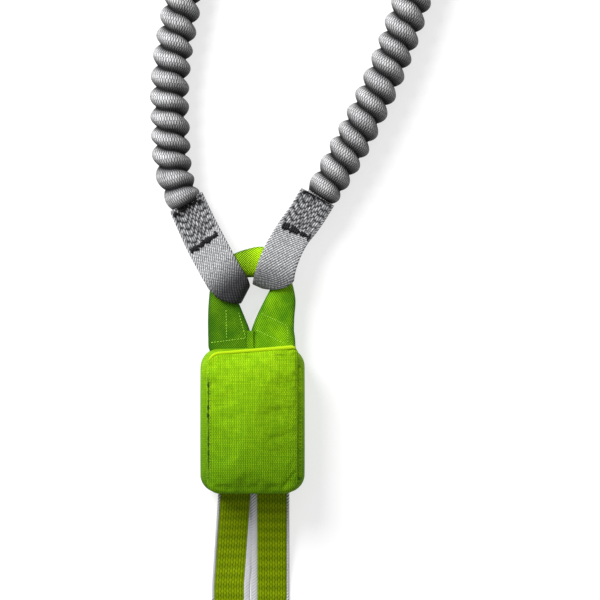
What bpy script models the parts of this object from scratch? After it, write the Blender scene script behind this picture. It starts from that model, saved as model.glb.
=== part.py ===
"""Via ferrata lanyard: a tear-webbing energy absorber in a stitched pouch, a tie-in loop, a textile eye and two
elastic webbing arms that end in palm-lock carabiners.

Metres, +Z up. The lanyard lies on a surface at z = 0, with the pouch's flat back on it. The origin is the
centre of that back, +Y runs from the pouch towards the carabiners, and +X is to the right when the pouch's
front is seen.
"""

import math

import bmesh
import bpy
from mathutils import Matrix, Vector

# Webbing and running clearances
WEBBING_WIDTH = 0.025
WEBBING_THICKNESS = 0.0018
CLEARANCE = 0.0003
OVERRUN = 0.003

# Pouch that holds the absorber
POUCH_WIDTH = 0.068
POUCH_LENGTH = 0.094
POUCH_DEPTH = 0.032
POUCH_CORNER = 0.012
POUCH_FABRIC = 0.0014
POUCH_BACK_INSET = 0.004
POUCH_FRONT_INSET = 0.0045
POUCH_RIM = 0.010
FLAP_THICKNESS = 0.0014
FLAP_CROWN = 0.0022
FLAP_SIDE_MARGIN = 0.0045
FLAP_SLANT = 0.0045
TAPE_THICKNESS = 0.0008
TAPE_WIDTH = 0.006
TAPE_LENGTH = 0.066
BINDING_WIDTH = 0.005
BINDING_THICKNESS = 0.0009
MOUTH_MARGIN = 0.0005

# Folded tear webbing inside the pouch
TEAR_LAYERS = 5
TEAR_LAYER_PITCH = 0.0048
TEAR_THICKNESS = 0.0022
TEAR_LENGTH = 0.062
TEAR_GAP = 0.0012
BAND_WIDTH = 0.009
BAND_THICKNESS = 0.0008
BAND_SPACING = 0.036

# Textile eye above the pouch
EYE_HEIGHT = 0.058
EYE_WIDTH = 0.038
EYE_THICKNESS = 0.0048
EYE_BIGHT_THICKNESS = 0.0125
EYE_CENTRE_HEIGHT = 0.0130

# Tie-in loop below the pouch
TIE_IN_LENGTH = 0.150
TIE_IN_BIGHT_RADIUS = 0.017
TIE_IN_LEG_SPACING = 0.0258
TIE_IN_OFFSET = -0.0015
TIE_IN_MOUTH_HEIGHT = 0.0120

# Elastic arms
ARM_DIAMETER = 0.0255
ARM_VALLEY_DEPTH = 0.0026
ARM_RIB_PITCH = 0.0128
ARM_BORE = 0.0130
CORE_DIAMETER = 0.0090
ARM_HEIGHT = 0.0130
SPLICE_LENGTH = 0.026
SPLICE_THICKNESS = 0.0036
LEFT_STRAP_LENGTH = 0.0689
RIGHT_STRAP_LENGTH = 0.0700

# Upper end of an arm
SLEEVE_LENGTH = 0.036
SLEEVE_WALL = 0.0013
SLEEVE_THICKNESS = 0.0125
BAR_DISTANCE = 0.068
KEEPER_LENGTH = 0.008
KEEPER_WALL = 0.0011

# Carabiner
CARABINER_LENGTH = 0.118
CARABINER_WIDTH = 0.066
CARABINER_THICKNESS = 0.013
CARABINER_ROD = 0.0105
CARABINER_EDGE = 0.0032
BAR_DIAMETER = 0.0080
EYE_SLOT_HEIGHT = 0.0075
EYE_SLOT_WIDTH = 0.0270
BRIDGE_HEIGHT = 0.0100
PLATE_SLOT = 0.0044
PIN_DIAMETER = 0.0032
GATE_LENGTH = 0.058
GATE_GAP = 0.0008
TONGUE_THICKNESS = 0.0014
TONGUE_RADIUS = 0.0042
HEEL_REACH = 0.0062
HEEL_DROP = 0.0052
LEVER_PLATE = 0.0030
LEVER_ARM = 0.0046
PAD_THICKNESS = 0.0110
PAD_DEPTH = 0.0060
PAD_STANDOFF = 0.0060
PAD_START = 0.030
PAD_END = 0.078
SPRING_DIAMETER = 0.0050
SPRING_WIRE = 0.0006
GATE_SPRING_TURNS = 1
LEVER_SPRING_TURNS = 4

# Where the arms run, seen from above: hand-chosen points of their centre lines, in metres
LEFT_ARM_ROUTE = [
    (-0.0425, 0.1396), (-0.0462, 0.1466), (-0.0503, 0.1571), (-0.0525, 0.1695), (-0.0533, 0.1825),
    (-0.0537, 0.1961), (-0.0541, 0.2084), (-0.0536, 0.2214), (-0.0523, 0.2351), (-0.0503, 0.2474),
    (-0.0477, 0.2610), (-0.0430, 0.2890), (-0.0392, 0.3200), (-0.0372, 0.3550), (-0.0378, 0.3920),
    (-0.0404, 0.4300), (-0.0433, 0.4700), (-0.0450, 0.5100), (-0.0455, 0.5500), (-0.0455, 0.5750),
    (-0.0455, 0.6000),
]
RIGHT_ARM_ROUTE = [
    (0.0440, 0.1450), (0.0510, 0.1562), (0.0595, 0.1710), (0.0683, 0.1875), (0.0766, 0.2042),
    (0.0844, 0.2210), (0.0914, 0.2378), (0.0976, 0.2547), (0.1065, 0.2830), (0.1140, 0.3150),
    (0.1188, 0.3490), (0.1208, 0.3840), (0.1206, 0.4200), (0.1192, 0.4580), (0.1178, 0.4960),
    (0.1170, 0.5340), (0.1168, 0.5700), (0.1168, 0.6000),
]

GREEN = (0.165, 0.48, 0.004)
LIME = (0.33, 0.60, 0.012)
OLIVE = (0.13, 0.21, 0.003)
PALE = (0.75, 0.78, 0.72)
GREY = (0.21, 0.21, 0.22)
STRAP_GREY = (0.33, 0.33, 0.33)
BLACK = (0.02, 0.02, 0.022)
METAL = (0.55, 0.56, 0.58)
STEEL = (0.62, 0.62, 0.62)
RUBBER_WHITE = (0.60, 0.60, 0.58)

for old in list(bpy.data.objects):
    bpy.data.objects.remove(old, do_unlink=True)

lanyard = bpy.data.collections.new("via_ferrata_lanyard")
cutters = bpy.data.collections.new("cutters")
bpy.context.scene.collection.children.link(lanyard)
bpy.context.scene.collection.children.link(cutters)
cutters.hide_render = True


def material(name, colour, roughness, metallic=0.0):
    made = bpy.data.materials.new(name)
    made.use_nodes = True
    shader = made.node_tree.nodes["Principled BSDF"]
    shader.inputs["Base Color"].default_value = (*colour, 1)
    shader.inputs["Roughness"].default_value = roughness
    shader.inputs["Metallic"].default_value = metallic
    return made


def place(name, data, finish):
    """A new object of the lanyard with its own material."""
    part = bpy.data.objects.new(name, data)
    lanyard.objects.link(part)
    data.materials.clear()
    data.materials.append(material(name, *finish))
    return part


def tidy_mesh(mesh):
    """Welds the mesh, turns its faces outward and shades it smooth with its real edges kept sharp."""
    work = bmesh.new()
    work.from_mesh(mesh)
    bmesh.ops.remove_doubles(work, verts=work.verts, dist=1e-6)
    bmesh.ops.recalc_face_normals(work, faces=work.faces)
    work.to_mesh(mesh)
    work.free()
    mesh.shade_smooth()
    mesh.set_sharp_from_angle(angle=math.radians(40))


def evaluated_mesh(source, name):
    """The mesh of a curve or of an object with modifiers, in world space. The source is removed."""
    bpy.context.view_layer.update()
    graph = bpy.context.evaluated_depsgraph_get()
    mesh = bpy.data.meshes.new_from_object(source.evaluated_get(graph))
    mesh.transform(source.matrix_world)
    mesh.name = name
    bpy.data.objects.remove(source, do_unlink=True)
    tidy_mesh(mesh)
    return mesh


def baked(name, part, finish):
    """The part again, as the mesh that its modifiers make."""
    return place(name, evaluated_mesh(part, name), finish)


def cut_with(part, tool, operation="DIFFERENCE"):
    """A Boolean of the part with a mesh object, which becomes a hidden cutter."""
    if tool.name in lanyard.objects:
        lanyard.objects.unlink(tool)
        cutters.objects.link(tool)
    tool.hide_render = True
    tool.display_type = "WIRE"
    step = part.modifiers.new(tool.name, "BOOLEAN")
    step.object = tool
    step.operation = operation
    return part


def box_cutter(name, low, high):
    """A block between two corners."""
    mesh = bpy.data.meshes.new(name)
    work = bmesh.new()
    bmesh.ops.create_cube(work, size=1)
    middle = (Vector(low) + Vector(high)) / 2
    span = Vector(high) - Vector(low)
    bmesh.ops.scale(work, verts=work.verts, vec=span)
    bmesh.ops.translate(work, verts=work.verts, vec=middle)
    work.to_mesh(mesh)
    work.free()
    return place(name, mesh, (BLACK, 0.5))


def rod(name, centre, axis, radius, length, finish, sides=16):
    """A straight round bar with its middle at the centre."""
    mesh = bpy.data.meshes.new(name)
    work = bmesh.new()
    bmesh.ops.create_cone(work, cap_ends=True, segments=sides, radius1=radius, radius2=radius, depth=length)
    turn = Vector(axis).to_track_quat("Z", "Y").to_matrix().to_4x4()
    work.transform(Matrix.Translation(centre) @ turn)
    work.to_mesh(mesh)
    work.free()
    tidy_mesh(mesh)
    return place(name, mesh, finish)


def smooth_points(points, step):
    """Points about one step apart on the smooth curve through the given points."""
    points = [Vector(p) for p in points]
    padded = [2 * points[0] - points[1], *points, 2 * points[-1] - points[-2]]
    dense = []
    for before, start, end, after in zip(padded, padded[1:], padded[2:], padded[3:]):
        for k in range(12):
            t = k / 12
            pull = (end - before) * t
            bend = (2 * before - 5 * start + 4 * end - after) * t**2
            twist = (3 * start - before - 3 * end + after) * t**3
            dense.append(0.5 * (2 * start + pull + bend + twist))
    dense.append(points[-1])
    reach = [0.0]
    for a, b in zip(dense, dense[1:]):
        reach.append(reach[-1] + (b - a).length)
    count = max(2, round(reach[-1] / step))
    spaced = []
    j = 0
    for i in range(count + 1):
        want = reach[-1] * i / count
        while j < len(dense) - 2 and reach[j + 1] < want:
            j += 1
        share = (want - reach[j]) / (reach[j + 1] - reach[j])
        spaced.append(dense[j].lerp(dense[j + 1], share))
    return spaced


def tube(name, points, radii, finish, resolution=2, cyclic=False):
    """A bevelled poly curve through the points, with one radius for each."""
    curve = bpy.data.curves.new(name, "CURVE")
    curve.dimensions = "3D"
    curve.bevel_depth = 1.0
    curve.bevel_resolution = resolution
    curve.use_fill_caps = True
    run = curve.splines.new("POLY")
    run.points.add(len(points) - 1)
    for point, place_at, radius in zip(run.points, points, radii):
        point.co = (*place_at, 1)
        point.radius = radius
    run.use_cyclic_u = cyclic
    return place(name, curve, finish)


def tube_mesh(name, points, radii, finish, resolution=2):
    """A tube as a welded mesh, which can be cut."""
    return baked(name, tube(name + "_curve", points, radii, finish, resolution), finish)


def strip(name, rungs, thickness, finish, columns=1, closed=False):
    """A band of webbing: a sheet through the rungs, rows of points from edge to edge, with its thickness."""
    mesh = bpy.data.meshes.new(name)
    work = bmesh.new()
    rows = []
    for rung in rungs:
        row = [Vector(spot) for spot in rung]
        if len(row) == 2:
            row = [row[0].lerp(row[1], k / columns) for k in range(columns + 1)]
        rows.append([work.verts.new(spot) for spot in row])
    follow = rows[1:] + rows[:1] if closed else rows[1:]
    for row, after in zip(rows, follow):
        for k in range(len(row) - 1):
            work.faces.new((row[k], row[k + 1], after[k + 1], after[k]))
    work.to_mesh(mesh)
    work.free()
    part = place(name, mesh, finish)
    step = part.modifiers.new("thickness", "SOLIDIFY")
    step.thickness = thickness
    step.offset = 0
    step.use_even_offset = True
    return baked(name, part, finish)


def rounded_outline(half_x, half_y, corner, steps=4):
    """Corner arcs of a rounded rectangle, anticlockwise from the right-hand lower corner."""
    points = []
    for quarter, (sx, sy) in enumerate([(1, -1), (1, 1), (-1, 1), (-1, -1)]):
        for k in range(steps + 1):
            angle = math.radians(90) * (quarter - 1 + k / steps)
            points.append((sx * (half_x - corner) + corner * math.cos(angle),
                           sy * (half_y - corner) + corner * math.sin(angle)))
    return points


def skin(name, rings, finish, wall=None, fill_first=False):
    """A sheet through rings of points. With a wall it is an open shell, without one a closed solid."""
    mesh = bpy.data.meshes.new(name)
    work = bmesh.new()
    rows = [[work.verts.new(Vector(p)) for p in ring] for ring in rings]
    count = len(rows[0])
    for row, after in zip(rows, rows[1:]):
        for k in range(count):
            work.faces.new((row[k], row[(k + 1) % count], after[(k + 1) % count], after[k]))
    if wall is None or fill_first:
        work.faces.new(rows[0][::-1])
    if wall is None:
        work.faces.new(rows[-1])
    bmesh.ops.recalc_face_normals(work, faces=work.faces)
    work.to_mesh(mesh)
    work.free()
    part = place(name, mesh, finish)
    if wall is None:
        return baked(name, part, finish)
    step = part.modifiers.new("wall", "SOLIDIFY")
    step.thickness = wall
    step.offset = -1
    step.use_even_offset = True
    return baked(name, part, finish)


def oval_ring(centre, across, up, half_width, half_thickness, squareness, sides=16):
    """A ring of points round a flattened section: squareness 1 is an ellipse, and a smaller one is boxier."""
    ring = []
    for k in range(sides):
        angle = math.tau * k / sides
        c, s = math.cos(angle), math.sin(angle)
        a = math.copysign(abs(c) ** squareness, c) * half_width
        b = math.copysign(abs(s) ** squareness, s) * half_thickness
        ring.append(Vector(centre) + Vector(across) * a + Vector(up) * b)
    return ring


UP = Vector((0, 0, 1))

# Pouch: a soft tray with a folded-in rim, closed by a front flap


def pouch_ring(inset, height):
    outline = rounded_outline(POUCH_WIDTH / 2 - inset, POUCH_LENGTH / 2 - inset, POUCH_CORNER - inset / 2)
    return [(x, y, height) for x, y in outline]


# How far out the eye's legs stand and how wide they are, in shares of the eye's width and of the webbing's
EYE_LEG_SHARES = (0.390, 1.09)
flap_base = POUCH_DEPTH + 2 * TAPE_THICKNESS + 3 * CLEARANCE
MOUTH_Y = POUCH_LENGTH / 2
tray = skin(
    "pouch_back",
    [
        pouch_ring(POUCH_BACK_INSET, 0),
        pouch_ring(POUCH_BACK_INSET / 4, POUCH_BACK_INSET),
        pouch_ring(0, POUCH_DEPTH / 2),
        pouch_ring(POUCH_FRONT_INSET / 4, POUCH_DEPTH - POUCH_FRONT_INSET),
        pouch_ring(POUCH_FRONT_INSET, POUCH_DEPTH),
        pouch_ring(POUCH_FRONT_INSET + POUCH_RIM / 2, POUCH_DEPTH),
        pouch_ring(POUCH_FRONT_INSET + POUCH_RIM, POUCH_DEPTH),
    ],
    (LIME, 0.8),
    wall=POUCH_FABRIC,
    fill_first=True,
)
eye_leg_reach = EYE_WIDTH * EYE_LEG_SHARES[0] + WEBBING_WIDTH * EYE_LEG_SHARES[1] / 2 + MOUTH_MARGIN
tie_in_reach = TIE_IN_LEG_SPACING / 2 + WEBBING_WIDTH / 2 + MOUTH_MARGIN
eye_mouth_half = EYE_THICKNESS / 2 + MOUTH_MARGIN
tie_in_mouth_half = WEBBING_THICKNESS / 2 + MOUTH_MARGIN
mouth_inside = MOUTH_Y - 2 * POUCH_FABRIC - OVERRUN
mouth_outside = MOUTH_Y + OVERRUN
cut_with(tray, box_cutter(
    "top_mouth",
    (-eye_leg_reach, mouth_inside, EYE_CENTRE_HEIGHT - eye_mouth_half),
    (eye_leg_reach, mouth_outside, EYE_CENTRE_HEIGHT + eye_mouth_half),
))
cut_with(tray, box_cutter(
    "bottom_mouth",
    (TIE_IN_OFFSET - tie_in_reach, -mouth_outside, TIE_IN_MOUTH_HEIGHT - tie_in_mouth_half),
    (TIE_IN_OFFSET + tie_in_reach, -mouth_inside, TIE_IN_MOUTH_HEIGHT + tie_in_mouth_half),
))

# The flap is one crowned sheet that turns down to the rim. It hinges on the right seam and its top edge slants.
# Its lines: across in shares of its half width, lift in shares of its rise and above 1 of its crown, and the
# cut of its corners in shares of the pouch's corner.
FLAP_PROFILE_SHARES = [
    (1.0, 0.0, 0.55), (0.985, 0.5, 0.38), (0.93, 0.92, 0.15), (0.75, 1.15, 0.0), (0.4, 1.55, 0.0),
    (0.0, 1.75, 0.0), (-0.4, 1.55, 0.0), (-0.75, 1.15, 0.0), (-0.93, 0.95, 0.15), (-1.0, 0.85, 0.45),
]
flap_half = POUCH_WIDTH / 2 - FLAP_SIDE_MARGIN
hem_share = 1 - BINDING_WIDTH / (POUCH_LENGTH / 2)
FLAP_LENGTH_SHARES = [-1.0, -0.93, -0.8, -0.45, 0.0, 0.45, 0.8, hem_share, 1.0]
flap_rise = flap_base + FLAP_THICKNESS / 2 - (POUCH_DEPTH + CLEARANCE)
hinge_height = POUCH_DEPTH + CLEARANCE


def flap_rung(profile, length_shares, raised=0.0):
    """Points of the flap's middle surface, or of one raised off it, down one line across its length."""
    across, lift, corner = profile
    top = POUCH_LENGTH / 2 - FLAP_SLANT * (1 - across) / 2 - POUCH_CORNER * corner
    low = -POUCH_LENGTH / 2 + POUCH_FABRIC + POUCH_CORNER * corner
    rung = []
    for share in length_shares:
        y = low + (top - low) * (1 + share) / 2
        along = 1 - 0.5 * share ** 2 - 1.2 * share ** 8
        height = flap_rise * min(lift, 1) + FLAP_CROWN * (max(lift - 1, 0) + along * min(lift, 1))
        rung.append((flap_half * across, y, hinge_height + height + raised))
    return rung


flap_rungs = [flap_rung(profile, FLAP_LENGTH_SHARES) for profile in FLAP_PROFILE_SHARES]
strip("pouch_front", flap_rungs, FLAP_THICKNESS, (LIME, 0.8))

# Hook-and-loop closure along the left side
tape_x = -(flap_half - TAPE_WIDTH)
loop_tape_height = POUCH_DEPTH + CLEARANCE + TAPE_THICKNESS / 2
hook_tape_height = loop_tape_height + TAPE_THICKNESS + CLEARANCE


def tape(name, height, finish):
    ends = [((tape_x - TAPE_WIDTH / 2, y, height), (tape_x + TAPE_WIDTH / 2, y, height))
            for y in (-TAPE_LENGTH / 2, TAPE_LENGTH / 2)]
    strip(name, ends, TAPE_THICKNESS, finish)


tape("loop_tape", loop_tape_height, (OLIVE, 0.9))
tape("hook_tape", hook_tape_height, (BLACK, 0.7))

# The bound hem lies on the flap along its slanted upper edge and follows its crown.
over_flap = FLAP_THICKNESS / 2 + CLEARANCE + BINDING_THICKNESS / 2
hem_rungs = [flap_rung(profile, FLAP_LENGTH_SHARES[-2:], over_flap) for profile in FLAP_PROFILE_SHARES[2:-1]]
strip("pouch_binding", hem_rungs, BINDING_THICKNESS, (LIME, 0.7))

# Energy absorber: two packs of tear webbing, folded to and fro, held by two elastic bands
layer_base = POUCH_FABRIC + BAND_THICKNESS + 2 * CLEARANCE + TEAR_THICKNESS / 2


def folded_pack(name, side):
    """One length of tear webbing in flat layers, joined by half-round folds at alternate ends."""
    rungs = []
    fold_radius = TEAR_LAYER_PITCH / 2
    inner = side * TEAR_GAP / 2
    outer = side * (TEAR_GAP / 2 + WEBBING_WIDTH)
    for layer in range(TEAR_LAYERS):
        height = layer_base + TEAR_LAYER_PITCH * layer
        way = 1 if layer % 2 == 0 else -1
        end = TEAR_LENGTH / 2
        rungs.append((way * end, height))
        rungs.append((-way * end, height))
        if layer < TEAR_LAYERS - 1:
            for k in (1, 2, 3):
                angle = math.radians(180) * k / 4
                rungs.append((-way * (end + fold_radius * math.sin(angle)),
                              height + fold_radius * (1 - math.cos(angle))))
    edges = [((inner, y, z), (outer, y, z)) for y, z in rungs]
    strip(name, edges, TEAR_THICKNESS, (PALE, 0.85))


folded_pack("tear_webbing_left", -1)
folded_pack("tear_webbing_right", 1)

pack_half_width = WEBBING_WIDTH + TEAR_GAP / 2 + CLEARANCE + BAND_THICKNESS / 2
pack_bottom = layer_base - TEAR_THICKNESS / 2 - CLEARANCE - BAND_THICKNESS / 2
pack_top = pack_bottom + TEAR_LAYER_PITCH * (TEAR_LAYERS - 1) + TEAR_THICKNESS + 2 * CLEARANCE + BAND_THICKNESS
for name, side in (("pack_band_lower", -1), ("pack_band_upper", 1)):
    middle = side * BAND_SPACING / 2
    half_height = (pack_top - pack_bottom) / 2
    loop = rounded_outline(pack_half_width, half_height, BAND_THICKNESS, 2)
    loop = [(x, z + (pack_top + pack_bottom) / 2) for x, z in loop]
    rungs = [((x, middle - BAND_WIDTH / 2, z), (x, middle + BAND_WIDTH / 2, z)) for x, z in loop]
    strip(name, rungs, BAND_THICKNESS, (BLACK, 0.8), closed=True)

# Sewn tails: the ends of the eye and of the tie-in loop, from a fold of the packs to the mouths
layer_end = TEAR_LENGTH / 2 + TEAR_LAYER_PITCH / 2 + TEAR_THICKNESS / 2 + CLEARANCE
mouth_end = MOUTH_Y - CLEARANCE
wall_inside = mouth_end - 2 * POUCH_FABRIC


def tail(name, centre, way, fold, mouth_height, finish):
    rungs = []
    for y, height in ((layer_end, layer_base + TEAR_LAYER_PITCH * fold), (wall_inside, mouth_height),
                      (mouth_end, mouth_height)):
        rungs.append(((centre - WEBBING_WIDTH / 2, way * y, height),
                      (centre + WEBBING_WIDTH / 2, way * y, height)))
    strip(name, rungs, WEBBING_THICKNESS, finish)


for side, word in ((-1, "left"), (1, "right")):
    tail("eye_tail_" + word, side * (WEBBING_WIDTH + TEAR_GAP) / 2, 1, 1.5, EYE_CENTRE_HEIGHT, (GREEN, 0.8))
    tail("tie_in_tail_" + word, TIE_IN_OFFSET + side * TIE_IN_LEG_SPACING / 2, -1, 0.5, TIE_IN_MOUTH_HEIGHT,
         (OLIVE, 0.8))

# Tie-in loop: flat side by side at the pouch, standing on edge round its bight


def tie_in_loop():
    half_spacing = TIE_IN_LEG_SPACING / 2
    standing = WEBBING_WIDTH / 2 + CLEARANCE
    lying = WEBBING_THICKNESS / 2
    turn_start, turn_end = TIE_IN_LENGTH * 0.50, TIE_IN_LENGTH * 0.80
    bight_y = -MOUTH_Y - TIE_IN_LENGTH
    down = []
    DROP_SHARES = [(0.0, 1.0), (0.06, 0.93), (0.14, 0.62), (0.22, 0.30), (0.32, 0.07), (0.42, 0.0), (0.50, 0.0)]
    for along, lift in DROP_SHARES:
        y = -MOUTH_Y - 2 * CLEARANCE - TIE_IN_LENGTH * along
        down.append((-half_spacing, y, lying + (TIE_IN_MOUTH_HEIGHT - lying) * lift, 0.0))
    for k in range(1, 7):
        share = k / 6
        ease = share * share * (3 - 2 * share)
        y = -MOUTH_Y - (turn_start + (turn_end - turn_start) * share)
        x = -half_spacing - (TIE_IN_BIGHT_RADIUS - half_spacing) * ease
        angle = math.radians(90) * ease
        height = max(lying, standing * math.sin(angle) + lying * math.cos(angle))
        down.append((x, y, height, angle))
    rungs = []
    for x, y, z, angle in down:
        way = Vector((math.cos(angle), 0, math.sin(angle))) * WEBBING_WIDTH / 2
        rungs.append((Vector((x + TIE_IN_OFFSET, y, z)) - way, Vector((x + TIE_IN_OFFSET, y, z)) + way))
    bend_y = bight_y + TIE_IN_BIGHT_RADIUS
    for k in range(0, 9):
        angle = math.radians(180) * k / 8
        spot = Vector((TIE_IN_OFFSET - TIE_IN_BIGHT_RADIUS * math.cos(angle),
                       bend_y - TIE_IN_BIGHT_RADIUS * math.sin(angle), standing))
        rungs.append((spot - UP * WEBBING_WIDTH / 2, spot + UP * WEBBING_WIDTH / 2))
    for x, y, z, angle in reversed(down):
        way = Vector((-math.cos(angle), 0, math.sin(angle))) * WEBBING_WIDTH / 2
        rungs.append((Vector((TIE_IN_OFFSET - x, y, z)) - way, Vector((TIE_IN_OFFSET - x, y, z)) + way))
    strip("tie_in_loop", rungs, WEBBING_THICKNESS, (OLIVE, 0.8), columns=2)


tie_in_loop()

# Eye: a padded sleeve that leaves the pouch as two flat legs and closes in a round bight

# Along the sleeve: across and up in shares of the eye's width and height, in-plane width in shares of the
# webbing's, thickness in shares of the way from the flat legs to the round bight, and boxiness
EYE_SHARES = [
    (-EYE_LEG_SHARES[0], 0.000, EYE_LEG_SHARES[1], 0.00, 0.40), (-0.395, 0.120, 1.09, 0.00, 0.40),
    (-0.415, 0.270, 1.03, 0.05, 0.42), (-0.478, 0.440, 0.83, 0.30, 0.60), (-0.515, 0.620, 0.69, 0.65, 0.80),
    (-0.460, 0.800, 0.66, 0.90, 0.90), (-0.320, 0.945, 0.68, 1.00, 0.95), (-0.120, 1.010, 0.74, 1.00, 1.00),
    (0.090, 1.010, 0.74, 1.00, 1.00), (0.290, 0.945, 0.66, 1.00, 0.95), (0.447, 0.800, 0.615, 0.90, 0.90),
    (0.482, 0.620, 0.74, 0.65, 0.80), (0.424, 0.440, 0.92, 0.30, 0.60), (0.362, 0.270, 1.04, 0.05, 0.42),
    (0.352, 0.120, 1.12, 0.00, 0.40), (0.354, 0.000, 1.13, 0.00, 0.40),
]
eye_base = MOUTH_Y + 2 * CLEARANCE
eye_reach = EYE_HEIGHT - 0.25 * WEBBING_WIDTH


def eye_loop():
    spots = [Vector((across * EYE_WIDTH, eye_base + up * eye_reach, EYE_CENTRE_HEIGHT))
             for across, up, *_ in EYE_SHARES]
    rings = []
    for k, (spot, (_, _, width, round_share, squareness)) in enumerate(zip(spots, EYE_SHARES)):
        if k in (0, len(spots) - 1):
            across = Vector((1, 0, 0)) if k == 0 else Vector((-1, 0, 0))
        else:
            ahead = spots[k + 1] - spots[k - 1]
            across = Vector((ahead.y, -ahead.x, 0)).normalized()
        thickness = EYE_THICKNESS + (EYE_BIGHT_THICKNESS - EYE_THICKNESS) * round_share
        rings.append(oval_ring(spot, across, UP, WEBBING_WIDTH * width / 2, thickness / 2, squareness, 20))
    skin("eye_loop", rings, (GREEN, 0.8))


eye_loop()

# Lower loops: each arm's strap passes through the eye, folds round one leg of it and is sewn back on itself

# Down a strap: along it in shares of its length, sideways towards the other arm in shares of the webbing's
# width, width in shares of the webbing's, turn of the edge-to-edge line in degrees, and height from the sewn
# block (0) to the crossing over the eye (1). The last row is the fold.
LEFT_STRAP_SHARES = [
    (0.04, 0.01, 0.90, 0, 0.55), (0.15, 0.00, 0.93, 0, 0.05), (0.38, -0.01, 0.95, 0, 0.0),
    (0.56, 0.00, 0.98, 0, 0.55), (0.72, 0.02, 1.00, 0, 1.08), (0.90, 0.05, 0.92, 2, 1.05),
    (1.00, 0.22, 0.42, 22, 0.0),
]
RIGHT_STRAP_SHARES = [
    (0.04, 0.02, 0.88, 0, 0.55), (0.15, 0.04, 0.92, 0, 0.05), (0.36, 0.07, 0.94, 0, 0.0),
    (0.52, 0.07, 0.96, 0, 0.65), (0.66, 0.06, 1.00, 2, 1.12), (0.88, -0.06, 0.90, 4, 1.10),
    (1.00, 0.15, 0.36, -5, 0.0),
]
block_height = SPLICE_THICKNESS / 2 + CLEARANCE + WEBBING_THICKNESS / 2
over_eye_height = EYE_BIGHT_THICKNESS / 2 + CLEARANCE + WEBBING_THICKNESS / 2


def strap_frame(route):
    """Where a strap starts, at its arm's lower end, and the directions down it and across to the other arm."""
    start = Vector(route[0])
    down = (start - Vector(route[1])).normalized()
    inward = Vector((-down.y, down.x))
    return start, down, inward if inward.y > 0 else -inward


def lower_loop(name, route, length, shares):
    start, down, inward = strap_frame(route)
    turn_way = 1 if inward.x > 0 else -1
    front = []
    for along, side, width, turn, height in shares:
        centre = start + down * length * along + inward * WEBBING_WIDTH * side
        angle = math.radians(turn) * turn_way
        way = Vector((inward.x * math.cos(angle) - inward.y * math.sin(angle),
                      inward.x * math.sin(angle) + inward.y * math.cos(angle)))
        front.append((centre, way * WEBBING_WIDTH * width / 2,
                      block_height + (over_eye_height - block_height) * height))
    crossing, fold_row = front[-2], front[-1]
    bend = []
    for k in (1, 2, 3, 4):
        share = math.sin(math.radians(90) * k / 4)
        bend.append((crossing[0].lerp(fold_row[0], share), crossing[1].lerp(fold_row[1], share),
                     crossing[2] * math.cos(math.radians(90) * k / 4)))
    upper = front[:-1] + bend
    rows = upper + [(centre, way, -height) for centre, way, height in reversed(upper[:-1])]
    rungs = [((*(centre - way), ARM_HEIGHT + height), (*(centre + way), ARM_HEIGHT + height))
             for centre, way, height in rows]
    strip(name, rungs, WEBBING_THICKNESS, (STRAP_GREY, 0.85), columns=2)


def lower_splice(name, route):
    """The arm's end, pressed flat between the two runs of the strap."""
    start, down, inward = strap_frame(route)
    SPLICE_SHARES = [(0.0, 0.36, 3.0, 0.9), (0.08, 0.36, 2.3, 0.8), (0.16, 0.35, 1.5, 0.7),
                     (0.30, 0.34, 1.0, 0.5), (1.0, 0.33, 1.0, 0.4)]
    rings = []
    for along, half_width, thickness, squareness in SPLICE_SHARES:
        spot = start + down * (CLEARANCE + SPLICE_LENGTH * along)
        rings.append(oval_ring((*spot, ARM_HEIGHT), (*inward, 0), UP, WEBBING_WIDTH * half_width,
                               SPLICE_THICKNESS * thickness / 2, squareness, 16))
    skin(name, rings, (GREY, 0.85))


# Elastic arms: tubular webbing gathered over a rubber core, one ridge per pitch


def centre_line(route, step):
    """The arm's centre line at its height, about one step from point to point, with straight ends."""
    line = smooth_points([(x, y, ARM_HEIGHT) for x, y in route], step)
    for end, inner, far in ((0, 1, 2), (-1, -2, -3)):
        first, second = (route[0], route[1]) if end == 0 else (route[-1], route[-2])
        way = (Vector(second) - Vector(first)).normalized()
        line[inner] = line[end] + Vector((way.x, way.y, 0)) * (line[inner] - line[end]).length
    return line


def arm(name, route):
    line = centre_line(route, ARM_RIB_PITCH / 2)
    start_radius = WEBBING_WIDTH * 0.37
    valley = ARM_DIAMETER / 2 - ARM_VALLEY_DEPTH
    radii = []
    for k in range(len(line)):
        ridge = ARM_DIAMETER / 2 if k % 2 else valley
        near = min(k / 5, 1)
        radii.append(start_radius + (ridge - start_radius) * near * near * (3 - 2 * near))
    radii[-2:] = [valley, valley]
    cover = tube_mesh(name, line, radii, (GREY, 0.85), 3)
    inside = centre_line(route, ARM_DIAMETER)
    inside[0] += (inside[0] - inside[1]).normalized() * OVERRUN
    inside[-1] += (inside[-1] - inside[-2]).normalized() * OVERRUN
    cut_with(cover, tube_mesh(name + "_bore", inside, [ARM_BORE / 2] * len(inside), (BLACK, 0.9)))
    core = centre_line(route, ARM_DIAMETER)
    tube(name + "_core", core, [CORE_DIAMETER / 2] * len(core), (RUBBER_WHITE, 0.7))


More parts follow.
